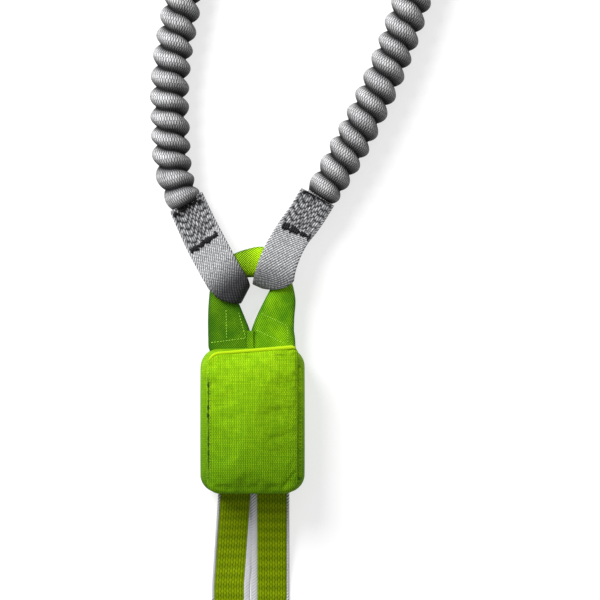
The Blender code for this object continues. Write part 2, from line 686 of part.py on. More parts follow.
def end_fittings(word, route):
    """The sleeve over the arm's upper end, the webbing loop to the carabiner's bar and the keeper on it."""
    x, y = route[-1]
    bar_y = y + BAR_DISTANCE
    bar_z = CARABINER_THICKNESS / 2
    flat_z = SLEEVE_THICKNESS / 2 + CLEARANCE
    sleeve_half = WEBBING_WIDTH / 2 + SLEEVE_WALL + 4 * CLEARANCE
    SLEEVE_SHARES = [(0.0, 0.0, 1.0), (0.12, 0.05, 0.95), (0.5, 0.62, 0.8), (0.75, 0.93, 0.55), (1.0, 1.0, 0.5)]
    round_half = ARM_DIAMETER / 2 - CLEARANCE
    rings = []
    for along, flatness, squareness in SLEEVE_SHARES:
        spot = (x, y + CLEARANCE + SLEEVE_LENGTH * along, ARM_HEIGHT + (flat_z - ARM_HEIGHT) * flatness)
        rings.append(oval_ring(spot, (1, 0, 0), UP, round_half + (sleeve_half - round_half) * flatness,
                               round_half + (SLEEVE_THICKNESS / 2 - round_half) * flatness, squareness, 24))
    skin(word + "_end_sleeve", rings, (BLACK, 0.6), wall=SLEEVE_WALL)

    wrap = BAR_DIAMETER / 2 + CLEARANCE + WEBBING_THICKNESS / 2
    sleeve_end = y + SLEEVE_LENGTH
    inside_gap = WEBBING_THICKNESS / 2 + CLEARANCE
    spread_end = bar_y - wrap * 1.3
    profile = [(y + SLEEVE_LENGTH * 0.60, flat_z + (ARM_HEIGHT - flat_z) * 0.25, inside_gap * 1.2),
               (y + SLEEVE_LENGTH * 0.80, flat_z, inside_gap * 1.4), (sleeve_end, flat_z, inside_gap * 1.8),
               ((sleeve_end + spread_end) / 2, bar_z, wrap * 0.66), (spread_end, bar_z, wrap * 0.98)]
    upper = [(py, centre + half) for py, centre, half in profile]
    lower = [(py, centre - half) for py, centre, half in profile]
    around = [(bar_y + wrap * math.sin(a), bar_z + wrap * math.cos(a))
              for a in [math.radians(180) * k / 10 for k in range(11)]]
    rungs = [((x - WEBBING_WIDTH / 2, py, pz), (x + WEBBING_WIDTH / 2, py, pz))
             for py, pz in upper + around + lower[::-1]]
    strip(word + "_upper_loop", rungs, WEBBING_THICKNESS, (STRAP_GREY, 0.85))

    keeper_y = sleeve_end + (spread_end - sleeve_end) / 2 - KEEPER_LENGTH * 0.85
    keeper_half = wrap * 0.66 + WEBBING_THICKNESS / 2 + 2 * CLEARANCE
    rings = [oval_ring((x, keeper_y + KEEPER_LENGTH * share, bar_z), (1, 0, 0), UP,
                       WEBBING_WIDTH / 2 + 3 * CLEARANCE, keeper_half, 0.2, 24) for share in (0, 0.5, 1)]
    skin(word + "_keeper", rings, (BLACK, 0.5), wall=-KEEPER_WALL)


for word, route, length, shares in (("left", LEFT_ARM_ROUTE, LEFT_STRAP_LENGTH, LEFT_STRAP_SHARES),
                                    ("right", RIGHT_ARM_ROUTE, RIGHT_STRAP_LENGTH, RIGHT_STRAP_SHARES)):
    lower_loop(word + "_lower_loop", route, length, shares)
    lower_splice(word + "_lower_splice", route)
    arm(word + "_arm", route)
    end_fittings(word, route)

# Carabiners: a flat-forged body with a window for the webbing, a gate on a pin, a palm lever behind the spine

# Outline of one half from the bar upwards: across in shares of the half width, up in shares of the length
OUTER_SHARES = [(0.56, -0.046), (0.60, 0.04), (0.655, 0.13), (0.76, 0.26), (0.885, 0.42), (0.975, 0.57),
                (1.0, 0.70), (0.94, 0.83), (0.76, 0.935), (0.45, 0.99)]
body_reach = CARABINER_LENGTH - BAR_DIAMETER / 2
half_width = CARABINER_WIDTH / 2
window_top = BAR_DIAMETER / 2 + EYE_SLOT_HEIGHT
opening_base = window_top + BRIDGE_HEIGHT
bar_height = CARABINER_THICKNESS / 2
pin_radius = PIN_DIAMETER / 2
bore_radius = pin_radius + CLEARANCE


def half_outline(shares):
    return [Vector((u * half_width, v * body_reach)) for u, v in shares]


def width_at(v):
    """Half the body's outer width at a height above the bar."""
    side = half_outline(OUTER_SHARES)
    for low, high in zip(side, side[1:]):
        if low.y <= v <= high.y:
            return low.x + (high.x - low.x) * (v - low.y) / (high.y - low.y)
    return side[-1].x


def outer_outline():
    right = smooth_points(half_outline(OUTER_SHARES) + [Vector((0, body_reach))], CARABINER_ROD / 2)
    return right + [Vector((-p.x, p.y)) for p in reversed(right[:-1])]


def inner_outline():
    """The main opening: the outer outline moved in by the rod's width, closed along the bridge."""
    right = [p for p in outer_outline() if p.x >= 0]
    moved = []
    for before, spot, after in zip(right, right[1:], right[2:] + [Vector((0, body_reach))]):
        along = (after - before).normalized()
        inner = spot + Vector((-along.y, along.x)) * CARABINER_ROD
        if inner.x > 0 and inner.y > opening_base + CARABINER_ROD / 3:
            moved.append(inner)
    top = Vector((0, body_reach - CARABINER_ROD))
    corner = Vector((moved[0].x - CARABINER_ROD / 4, opening_base))
    right = [corner, *moved, top]
    return right + [Vector((-p.x, p.y)) for p in reversed(right[:-1])]


def flat_piece(name, outlines, thickness, finish, spot, edge=0.0, lift=0.0):
    """A flat outline, then any hole in it, extruded about the carabiner's middle plane with rounded edges."""
    curve = bpy.data.curves.new(name, "CURVE")
    curve.dimensions = "2D"
    curve.fill_mode = "BOTH"
    curve.extrude = thickness / 2 - edge
    curve.bevel_depth = edge
    curve.bevel_resolution = 1
    curve.offset = -edge
    for order, outline in enumerate(outlines):
        run = curve.splines.new("POLY")
        run.points.add(len(outline) - 1)
        for point, (u, v) in zip(run.points, outline if order == 0 else outline[::-1]):
            point.co = (u, v, 0, 1)
        run.use_cyclic_u = True
    flat = place(name + "_outline", curve, finish)
    flat.location = spot + UP * lift
    return baked(name, flat, finish)


def spring_line(spot, axis, turns, radius, pitch):
    """Points of a helix about an axis through the spot, ten to a turn."""
    axis = Vector(axis).normalized()
    side = axis.orthogonal().normalized()
    other = axis.cross(side)
    points = []
    for k in range(turns * 10 + 1):
        angle = math.tau * k / 10
        around = side * math.cos(angle) + other * math.sin(angle)
        points.append(Vector(spot) + axis * pitch * k / 10 + around * radius)
    return points


def print_self_gap(name, points, wire):
    """Least gap between turns, measured on the points, two thirds of a turn or more apart."""
    least = min((a - b).length for i, a in enumerate(points) for b in points[i + 7:])
    print(f"{name}: least gap to itself {1000 * (least - wire):.2f} mm")


gate_pin_spot = Vector((0, opening_base + CARABINER_ROD * 0.70))
gate_pin_spot.x = width_at(gate_pin_spot.y) - CARABINER_ROD / 2
lever_pin_spot = Vector((0, window_top + BRIDGE_HEIGHT * 0.58))
lever_pin_spot.x = CARABINER_ROD / 2 - width_at(lever_pin_spot.y)


def carabiner(word, route):
    x, y = route[-1]
    spot = Vector((x, y + BAR_DISTANCE, bar_height))

    def at(u, v, w=0.0):
        return spot + Vector((u, v, w))

    def block(name, low, high):
        return box_cutter(word + "_" + name, at(*low), at(*high))

    def bore(name, u, v, radius, depth=CARABINER_THICKNESS + 2 * OVERRUN):
        return rod(word + "_" + name, at(u, v), UP, radius, depth, (STEEL, 0.3))

    thick = CARABINER_THICKNESS
    far = CARABINER_LENGTH
    pin_u, pin_v = gate_pin_spot
    lever_u, lever_v = lever_pin_spot
    knuckle = CARABINER_ROD / 2 - CLEARANCE / 3

    def gate_room(name, start, reach):
        """The gate's side of the ring above a start, within reach of the gate's pin so that the tip clears."""
        room = block(name, (pin_u - CARABINER_ROD * 1.4, start, -thick), (far, far, thick))
        disc = rod(word + "_" + name + "_reach", at(pin_u, pin_v), UP, reach, thick * 4, (METAL, 0.3), 96)
        cut_with(room, disc, "INTERSECT")
        return room

    # Body
    ring = [outer_outline(), inner_outline()]
    body = flat_piece(word + "_carabiner_body", ring, thick, (METAL, 0.3, 1.0), spot, CARABINER_EDGE)
    window = (-EYE_SLOT_WIDTH / 2, -BAR_DIAMETER, -thick), (EYE_SLOT_WIDTH / 2, window_top, thick)
    cut_with(body, block("webbing_window", *window))
    bar_length = EYE_SLOT_WIDTH + CARABINER_EDGE * 2
    cut_with(body, rod(word + "_bar", at(0, 0), (1, 0, 0), BAR_DIAMETER / 2, bar_length, (METAL, 0.3)), "UNION")
    cut_with(body, gate_room("gate_side", pin_v - CLEARANCE, GATE_LENGTH + GATE_GAP))
    shank = rod(word + "_knuckle", at(pin_u, pin_v), UP, knuckle, thick - CARABINER_EDGE, (METAL, 0.3), 24)
    cut_with(body, shank, "UNION")
    plate_half = PLATE_SLOT / 2
    cut_with(body, block("plate_slot", (-far, window_top - OVERRUN, -plate_half),
                         (far, pin_v + CARABINER_ROD, plate_half)))
    cut_with(body, bore("gate_bore", pin_u, pin_v, bore_radius))
    cut_with(body, bore("lever_bore", lever_u, lever_v, bore_radius))

    # Gate: the rest of the same ring, with a thin tongue round the pin and a heel that the lever blocks
    gate = flat_piece(word + "_gate", ring, thick, (METAL, 0.35, 1.0), spot, CARABINER_EDGE)
    clear = knuckle + CLEARANCE * 2
    cut_with(gate, gate_room("gate_keep", pin_v + clear, GATE_LENGTH), "INTERSECT")
    tongue_low = -plate_half + CLEARANCE
    tongue_lift = tongue_low + TONGUE_THICKNESS / 2
    heel = [(math.cos(math.radians(a)) * TONGUE_RADIUS, math.sin(math.radians(a)) * TONGUE_RADIUS)
            for a in range(-90, 61, 15)]
    heel += [(TONGUE_RADIUS * 0.5, clear + CARABINER_EDGE), (-TONGUE_RADIUS, clear + CARABINER_EDGE),
             (-TONGUE_RADIUS, 0), (-HEEL_REACH, -TONGUE_RADIUS * 0.45), (-HEEL_REACH, -HEEL_DROP)]
    outline = [(pin_u + u, pin_v + v) for u, v in heel]
    tongue = flat_piece(word + "_tongue", [outline], TONGUE_THICKNESS, (METAL, 0.35), spot, 0, tongue_lift)
    cut_with(gate, tongue, "UNION")
    cut_with(gate, bore("tongue_bore", pin_u, pin_v, bore_radius))
    rod(word + "_gate_pin", at(pin_u, pin_v), UP, pin_radius, thick - CLEARANCE, (STEEL, 0.3, 1.0))
    coil_start = tongue_lift + TONGUE_THICKNESS / 2 + CLEARANCE + SPRING_WIRE / 2
    coil_room = plate_half - CLEARANCE - SPRING_WIRE / 2 - coil_start
    gate_coil = spring_line(at(pin_u, pin_v, coil_start), UP, GATE_SPRING_TURNS,
                            pin_radius + CLEARANCE + SPRING_WIRE / 2, coil_room / GATE_SPRING_TURNS)
    tube(word + "_gate_spring", gate_coil, [SPRING_WIRE / 2] * len(gate_coil), (STEEL, 0.3, 1.0), 1)
    print_self_gap(word + "_gate_spring", gate_coil, SPRING_WIRE)

    # Lever: a plate through the body to the heel, and a palm pad that follows the spine outside
    spine = [p for p in outer_outline() if p.x < 0 and PAD_START < p.y < PAD_END]
    spine.sort(key=lambda p: p.y)
    inner_side = []
    for k, p in enumerate(spine):
        before, after = spine[max(k - 1, 0)], spine[min(k + 1, len(spine) - 1)]
        along = (after - before).normalized()
        inner_side.append((p + Vector((-along.y, along.x)) * PAD_STANDOFF, Vector((-along.y, along.x))))
    plate = LEVER_ARM / 2
    heel_at = pin_u - HEEL_REACH
    toe_top = pin_v - HEEL_DROP - CLEARANCE
    root = inner_side[0][0] + inner_side[0][1] * PAD_DEPTH / 2
    outline = [(heel_at - plate * 1.6, lever_v + plate), (lever_u + plate * 1.4, lever_v + plate),
               (lever_u, lever_v + plate * 1.5), (root.x + plate, root.y + plate * 0.4),
               (root.x + plate * 1.1, root.y + plate * 2.2), (root.x - plate * 0.2, root.y + plate * 2.2),
               (root.x - plate, root.y), (lever_u - plate, lever_v - plate), (heel_at + plate, lever_v - plate),
               (heel_at + plate, toe_top), (heel_at - plate * 0.6, toe_top)]
    lever = flat_piece(word + "_palm_lever", [outline[::-1]], LEVER_PLATE, (STEEL, 0.35, 1.0), spot)
    cut_with(lever, bore("lever_plate_bore", lever_u, lever_v, bore_radius))
    rod(word + "_lever_pin", at(lever_u, lever_v), UP, pin_radius, thick - CLEARANCE, (STEEL, 0.3, 1.0))
    inside = [p for p, _ in inner_side]
    outside = [p + way * PAD_DEPTH for p, way in inner_side]
    pad_outline = inside + outside[::-1]
    pad = flat_piece(word + "_palm_pad", [pad_outline], PAD_THICKNESS, (BLACK, 0.6), spot, PAD_DEPTH * 0.3)
    pocket = plate * 2.2 + CLEARANCE
    pocket_half = LEVER_PLATE / 2 + CLEARANCE
    cut_with(pad, block("pad_pocket", (root.x - plate - CLEARANCE * 2, root.y - pocket, -pocket_half),
                        (root.x + plate * 1.1 + CLEARANCE * 2, root.y + pocket, pocket_half)))
    middle = inner_side[len(inner_side) // 2]
    spring_start = middle[0] - middle[1] * (PAD_STANDOFF - CLEARANCE - SPRING_WIRE / 2)
    room = PAD_STANDOFF - 2 * CLEARANCE - SPRING_WIRE
    coil_radius = (SPRING_DIAMETER - SPRING_WIRE) / 2
    coil = spring_line(at(*spring_start), (*middle[1], 0), LEVER_SPRING_TURNS, coil_radius,
                       room / LEVER_SPRING_TURNS)
    tube(word + "_lever_spring", coil, [SPRING_WIRE / 2] * len(coil), (STEEL, 0.3, 1.0), 1)
    print_self_gap(word + "_lever_spring", coil, SPRING_WIRE)


carabiner("left", LEFT_ARM_ROUTE)
carabiner("right", RIGHT_ARM_ROUTE)

# Joint axes: an empty stands on each, and the pieces that turn or slide there are its children


def joint_axis(name, spot, parent, pieces):
    axis = bpy.data.objects.new(name, None)
    axis.empty_display_size = WEBBING_WIDTH
    lanyard.objects.link(axis)
    axis.location = spot
    if parent:
        axis.parent = parent
        axis.location = Vector(spot) - parent.matrix_world.translation
    bpy.context.view_layer.update()
    for piece in pieces:
        part = bpy.data.objects[piece]
        part.data.transform(Matrix.Translation(-axis.matrix_world.translation))
        part.parent = axis
    print(name, [round(1000 * c, 2) for c in axis.matrix_world.translation])
    return axis


# Where each strap turns in the eye's hole, beside its fold: shares of the eye's width and height
STRAP_PIVOT_SHARES = {"left": (-0.237, 0.684), "right": (0.0, 0.684)}
leg_top = Vector((0, 0, EYE_THICKNESS / 2))
joint_axis("flap_axis", (flap_half + FLAP_THICKNESS / 2, 0, POUCH_DEPTH), None,
           ["pouch_front", "pouch_binding", "hook_tape"])
joint_axis("tie_in_axis", (0, -MOUTH_Y - 2 * CLEARANCE, TIE_IN_MOUTH_HEIGHT + WEBBING_THICKNESS / 2), None,
           ["tie_in_loop"])
eye_axis = joint_axis("eye_axis", Vector((0, eye_base, EYE_CENTRE_HEIGHT)) + leg_top, None, ["eye_loop"])
for word, route in (("left", LEFT_ARM_ROUTE), ("right", RIGHT_ARM_ROUTE)):
    across_share, up_share = STRAP_PIVOT_SHARES[word]
    strap_pivot = (EYE_WIDTH * across_share, eye_base + eye_reach * up_share, ARM_HEIGHT)
    arm_axis = joint_axis(word + "_arm_axis", strap_pivot, eye_axis, [word + tail for tail in (
        "_lower_loop", "_lower_splice", "_arm", "_arm_core")])
    end_axis = joint_axis(word + "_stretch_axis", (*route[-1], ARM_HEIGHT), arm_axis, [word + tail for tail in (
        "_end_sleeve", "_upper_loop", "_keeper")])
    bar = Vector((route[-1][0], route[-1][1] + BAR_DISTANCE, bar_height))
    bar_axis = joint_axis(word + "_bar_axis", bar, end_axis, [word + tail for tail in (
        "_carabiner_body", "_gate_pin", "_lever_pin", "_lever_spring", "_gate_spring")])
    joint_axis(word + "_gate_axis", bar + Vector((*gate_pin_spot, 0)), bar_axis, [word + "_gate"])
    joint_axis(word + "_lever_axis", bar + Vector((*lever_pin_spot, 0)), bar_axis,
               [word + "_palm_lever", word + "_palm_pad"])
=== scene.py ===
"""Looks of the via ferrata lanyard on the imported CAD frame: camera, light, visible surfaces and materials."""

import math

import bpy
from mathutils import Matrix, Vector, noise
from mathutils.bvhtree import BVHTree


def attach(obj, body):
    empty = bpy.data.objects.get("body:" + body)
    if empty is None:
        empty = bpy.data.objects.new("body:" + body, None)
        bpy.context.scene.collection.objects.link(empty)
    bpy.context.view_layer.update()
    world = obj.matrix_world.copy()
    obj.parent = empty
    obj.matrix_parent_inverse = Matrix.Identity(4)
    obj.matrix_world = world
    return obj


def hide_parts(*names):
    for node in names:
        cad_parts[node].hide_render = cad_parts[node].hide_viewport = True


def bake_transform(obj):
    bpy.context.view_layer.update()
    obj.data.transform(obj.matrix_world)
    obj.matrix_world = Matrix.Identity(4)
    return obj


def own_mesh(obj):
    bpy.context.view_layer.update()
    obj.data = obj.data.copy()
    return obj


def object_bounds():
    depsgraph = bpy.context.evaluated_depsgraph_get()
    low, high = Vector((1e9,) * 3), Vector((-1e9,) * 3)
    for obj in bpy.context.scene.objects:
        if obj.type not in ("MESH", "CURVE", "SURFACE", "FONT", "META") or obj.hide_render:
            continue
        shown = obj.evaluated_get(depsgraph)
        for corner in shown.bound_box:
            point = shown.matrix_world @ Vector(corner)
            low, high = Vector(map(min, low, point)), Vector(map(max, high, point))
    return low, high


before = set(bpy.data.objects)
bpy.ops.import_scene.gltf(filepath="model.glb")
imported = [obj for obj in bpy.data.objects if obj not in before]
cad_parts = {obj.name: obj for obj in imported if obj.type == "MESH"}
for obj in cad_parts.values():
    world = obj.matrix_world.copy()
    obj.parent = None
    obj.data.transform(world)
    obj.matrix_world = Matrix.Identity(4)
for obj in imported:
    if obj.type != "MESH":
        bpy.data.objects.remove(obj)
cad_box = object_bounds()

# Camera, light and ground: a product shot from straight above. The object lies on a white table and is lit
# from the upper left.

PICTURE_SIDE = 0.3896
PICTURE_CENTRE = Vector((0.0308, 0.0779, 0.015))
CAMERA_HEIGHT = 1.9
GROUND_HALF = 4.0
LIGHT_AIM = Vector((0.03, 0.06, 0))
WHITE = (1, 1, 1, 1)
MILLIMETRE = 0.001
UP = Vector((0, 0, 1))


def link(obj):
    bpy.context.scene.collection.objects.link(obj)
    return obj


def make_camera():
    lens = bpy.data.cameras.new("photo_camera")
    lens.sensor_width = 36
    lens.lens = lens.sensor_width * CAMERA_HEIGHT / PICTURE_SIDE
    lens.clip_start = 0.05
    camera = link(bpy.data.objects.new("photo_camera", lens))
    camera.location = PICTURE_CENTRE + UP * CAMERA_HEIGHT
    bpy.context.scene.camera = camera


def area_light(name, place, size, power):
    lamp = bpy.data.lights.new(name, "AREA")
    lamp.shape = "DISK"
    lamp.size = size
    lamp.energy = power
    light = link(bpy.data.objects.new(name, lamp))
    light.location = place
    light.rotation_euler = (LIGHT_AIM - Vector(place)).to_track_quat("-Z", "Y").to_euler()


def make_ground():
    """The white table. It gives off a little light, so that shadows on it stay pale."""
    table = bpy.data.materials.new("white_table")
    table.use_nodes = True
    inputs = table.node_tree.nodes["Principled BSDF"].inputs
    inputs["Base Color"].default_value = (0.35, 0.35, 0.35, 1)
    inputs["Roughness"].default_value = 0.9
    inputs["Emission Color"].default_value = WHITE
    inputs["Emission Strength"].default_value = 0.66
    sheet = bpy.data.meshes.new("ground")
    corners = [(x * GROUND_HALF, y * GROUND_HALF, 0) for x, y in ((-1, -1), (1, -1), (1, 1), (-1, 1))]
    sheet.from_pydata(corners, [], [(0, 1, 2, 3)])
    sheet.materials.append(table)
    floor = link(bpy.data.objects.new("ground", sheet))
    floor.location.z = cad_box[0].z - 0.1 * MILLIMETRE


def make_studio():
    studio = bpy.data.worlds.new("studio")
    studio.use_nodes = True
    studio.node_tree.nodes["Background"].inputs["Color"].default_value = WHITE
    studio.node_tree.nodes["Background"].inputs["Strength"].default_value = 0.30
    bpy.context.scene.world = studio
    bpy.context.scene.view_settings.view_transform = "Standard"


make_camera()
make_ground()
area_light("key", (-0.72, 0.95, 0.95), 0.8, 34)
area_light("fill", (0.3, 0.4, 1.7), 1.6, 6)
make_studio()


# Arms: tubular webbing, knitted of light and dark yarn and gathered in one left-handed ridge after another
# round a rubber core. The ridges flatten towards the strap that it is sewn to. Routes as in the CAD.

LEFT_ARM_ROUTE = [
    (-0.0425, 0.1396), (-0.0462, 0.1466), (-0.0503, 0.1571), (-0.0525, 0.1695), (-0.0533, 0.1825),
    (-0.0537, 0.1961), (-0.0541, 0.2084), (-0.0536, 0.2214), (-0.0523, 0.2351), (-0.0503, 0.2474),
    (-0.0477, 0.2610), (-0.0430, 0.2890), (-0.0392, 0.3200), (-0.0372, 0.3550), (-0.0378, 0.3920),
    (-0.0404, 0.4300), (-0.0433, 0.4700), (-0.0450, 0.5100), (-0.0455, 0.5500), (-0.0455, 0.5750),
    (-0.0455, 0.6000),
]
RIGHT_ARM_ROUTE = [
    (0.0440, 0.1450), (0.0510, 0.1562), (0.0595, 0.1710), (0.0683, 0.1875), (0.0766, 0.2042),
    (0.0844, 0.2210), (0.0914, 0.2378), (0.0976, 0.2547), (0.1065, 0.2830), (0.1140, 0.3150),
    (0.1188, 0.3490), (0.1208, 0.3840), (0.1206, 0.4200), (0.1192, 0.4580), (0.1178, 0.4960),
    (0.1170, 0.5340), (0.1168, 0.5700), (0.1168, 0.6000),
]
ARM_HEIGHT = 0.013
ARM_DIAMETER = 0.0255
ARM_SIDES = 64
RIDGE_PITCH = 0.0128
RIDGE_DEPTH = 0.0046
STEPS_PER_RIDGE = 16
SEAM_REACH = 0.035
SEAM_NARROWING = 0.0016
SEAM_FLATTENING = 0.45
RIDGE_LEAN = 0.20
RIDGE_JITTER = 0.10
# How much painted shade darkens each arm's right side
SIDE_SHADE = 0.45


class Wire:
    """An output in a material's nodes. Arithmetic on it, with numbers or other wires, adds math nodes."""

    def __init__(self, nodes, socket):
        self.nodes = nodes
        self.socket = socket

    def __add__(self, other):
        return self.nodes.math("ADD", self, other)

    def __sub__(self, other):
        return self.nodes.math("SUBTRACT", self, other)

    def __rsub__(self, other):
        return self.nodes.math("SUBTRACT", other, self)

    def __mul__(self, other):
        return self.nodes.math("MULTIPLY", self, other)

    def __truediv__(self, other):
        return self.nodes.math("DIVIDE", self, other)

    def __pow__(self, other):
        return self.nodes.math("POWER", self, other)

    def __abs__(self):
        return self.nodes.math("ABSOLUTE", self)

    def floor(self):
        return self.nodes.math("FLOOR", self)

    def zigzag(self, top):
        """Up to the top and down to 0 again, over and over."""
        return self.nodes.math("PINGPONG", self, top)


class Nodes:
    """Adds nodes to a material and joins them: an input is a number, a colour or a wire."""

    def __init__(self, name):
        self.material = bpy.data.materials.new(name)
        self.material.use_nodes = True
        self.tree = self.material.node_tree
        self.shader = self.tree.nodes["Principled BSDF"]

    def put(self, socket, value):
        if isinstance(value, Wire):
            self.tree.links.new(value.socket, socket)
        elif isinstance(value, tuple) and socket.type == "RGBA":
            socket.default_value = (*value, 1)
        else:
            socket.default_value = value

    def add(self, kind, *inputs, output=0, **settings):
        made = self.tree.nodes.new("ShaderNode" + kind)
        for key, value in settings.items():
            setattr(made, key, value)
        for place, value in enumerate(inputs):
            if value is not None:
                self.put(made.inputs[place], value)
        return Wire(self, made.outputs[output])

    def math(self, operation, *inputs):
        return self.add("Math", *inputs, operation=operation)

    def mix(self, share, first, second):
        return self.add("MixRGB", share, first, second)

    def split(self, vector):
        made = self.tree.nodes.new("ShaderNodeSeparateXYZ")
        self.put(made.inputs[0], vector)
        return [Wire(self, output) for output in made.outputs]

    def place(self):
        """The spot in the object's own space, in metres."""
        return self.add("TexCoord", output=3)

    def weave(self):
        """Lengths across and along the piece and, on some, a shade: what mesh_object is given as weave."""
        return self.split(self.add("Attribute", output=1, attribute_name="weave"))

    # The depth attribute: on the arms painted light and shade, on the straps how far they are sewn, on the eye
    # nearness to its bight, on the fittings a fixed tone.
    def depth(self):
        return self.add("Attribute", output=2, attribute_name="depth")

    def grain(self, scale, detail=2.0, vector=None):
        """Noise between 0 and 1, in features per metre."""
        return self.add("TexNoise", vector or self.place(), None, scale, detail)

    def chance(self, x, y):
        """A random number from 0 to 1 for each pair of whole numbers."""
        return self.add("TexWhiteNoise", self.add("CombineXYZ", x, y, 0.0), noise_dimensions="2D")

    def remap(self, value, low, high, to_low=0.0, to_high=1.0):
        return self.add("MapRange", value, low, high, to_low, to_high)

    def ribs(self, along, pitch):
        """A soft wave from 0 to 1 with one crest each pitch."""
        return self.math("SINE", along * (math.tau / pitch)) * 0.5 + 0.5

    def finish(self, colour, roughness, height, depth, metallic=0.0, shine=0.12):
        """The material, with its height as bumps of that depth in metres."""
        bump = self.tree.nodes.new("ShaderNodeBump")
        bump.inputs["Distance"].default_value = depth
        self.put(bump.inputs["Height"], height)
        looks = {"Base Color": colour, "Roughness": roughness, "Metallic": metallic,
                 "Specular IOR Level": shine, "Normal": Wire(self, bump.outputs[0])}
        for name, value in looks.items():
            self.put(self.shader.inputs[name], value)
        return self.material


def mesh_object(name, points, faces, material, weave=None, depths=None):
    """A smooth mesh. Weave holds each point's lengths across and along and maybe a shade from 0 to 1."""
    mesh = bpy.data.meshes.new(name)
    mesh.from_pydata([tuple(p) for p in points], [], faces)
    mesh.materials.append(material)
    mesh.polygons.foreach_set("use_smooth", [True] * len(mesh.polygons))
    if weave:
        layer = mesh.attributes.new("weave", "FLOAT_VECTOR", "POINT")
        layer.data.foreach_set("vector", [c for spot in weave for c in (*spot, 0.0)[:3]])
    if depths:
        layer = mesh.attributes.new("depth", "FLOAT", "POINT")
        layer.data.foreach_set("value", depths)
    made = link(bpy.data.objects.new(name, mesh))
    return made


def grid_faces(rows, columns, wrap):
    """Faces of a grid of points, row after row; wrap joins each row's last point to its first."""
    faces = []
    for r in range(rows - 1):
        for c in range(columns if wrap else columns - 1):
            d = (c + 1) % columns
            faces.append((r * columns + c, r * columns + d, (r + 1) * columns + d, (r + 1) * columns + c))
    return faces


def tube_faces(rings, sides, joined=False):
    """Faces of a tube of rings of points, with a cap at each end or, where it is joined, end to end."""
    last = (rings - 1) * sides
    if joined:
        ends = [(last + c, last + (c + 1) % sides, (c + 1) % sides, c) for c in range(sides)]
    else:
        ends = [tuple(reversed(range(sides))), tuple(range(last, last + sides))]
    return grid_faces(rings, sides, True) + ends


def skin(name, rings, material, weave=None, depths=None, joined=False):
    """A mesh over rings of points."""
    points = [point for ring in rings for point in ring]
    faces = tube_faces(len(rings), len(rings[0]), joined)
    return mesh_object(name, points, faces, material, weave, depths)


def path_frames(line, joined=False):
    """For each point of a path: the point, the direction there and the length so far."""
    frames = []
    travelled = 0.0
    for k, spot in enumerate(line):
        before = line[k - 1] if k or joined else spot
        after = line[(k + 1) % len(line)] if k + 1 < len(line) or joined else spot
        travelled += (spot - before).length if k else 0.0
        frames.append((spot, (after - before).normalized(), travelled))
    return frames


def curve_point(p, q, r, s, t):
    """The point or number at t between q and r on the smooth curve through p, q, r and s."""
    return 0.5 * (2 * q + (r - p) * t + (2 * p - 5 * q + 4 * r - s) * t * t
                  + (3 * q - p - 3 * r + s) * t ** 3)


def smooth_line(points, step):
    """Points about one step apart on a smooth curve through the points."""
    points = [Vector(p) for p in points]
    ends = [points[0] * 2 - points[1], *points, points[-1] * 2 - points[-2]]
    fine = [curve_point(*four, k / 24) for four in zip(ends, ends[1:], ends[2:], ends[3:]) for k in range(24)]
    fine.append(points[-1])
    lengths = [travelled for spot, way, travelled in path_frames(fine)]
    count = max(2, round(lengths[-1] / step))
    line, k = [], 0
    for n in range(count + 1):
        wanted = lengths[-1] * n / count
        while k < len(fine) - 2 and lengths[k + 1] < wanted:
            k += 1
        share = (wanted - lengths[k]) / (lengths[k + 1] - lengths[k])
        line.append(fine[k].lerp(fine[k + 1], min(share, 1)))
    return line


def knit_material():
    """Knit of light and dark yarn, with dark dashes side by side round every ridge. Its brightness is the depth
    attribute, which on the arms is painted shade: dark creases and darker lower and right sides.
    """
    n = Nodes("gathered_knit")
    around, along = n.weave()[:2]
    row = (along + n.grain(500) * 0.0012) / 0.0027
    courses = n.math("MINIMUM", row.zigzag(0.5) * 4.0, 1.0)
    wales = n.ribs(around + (row.floor() * 0.0009 + n.grain(300) * 0.0008), 0.0018) ** 0.7
    yarn = wales * (courses * 0.25 + 0.75)
    patchy = n.remap(n.grain(110, 3.0), 0.3, 0.7, 0.78, 1.18)
    # lit: painted light and shade from the depth attribute on the arms, times the yarn's tone
    lit = n.depth() ** 1.15 * (yarn * 0.80 + 0.16)
    return n.finish(n.mix(lit * patchy, (0.003, 0.003, 0.004), (0.62, 0.62, 0.63)), 0.85, yarn, 0.0004)


def arm_radius(phase, near):
    """Radius at a phase of the ridge and a nearness to the seam."""
    crest = abs(math.sin(math.pi * phase)) ** 0.75
    depth = RIDGE_DEPTH * (1 - SEAM_FLATTENING * near)
    return ARM_DIAMETER / 2 - SEAM_NARROWING * near - depth * (1 - crest)


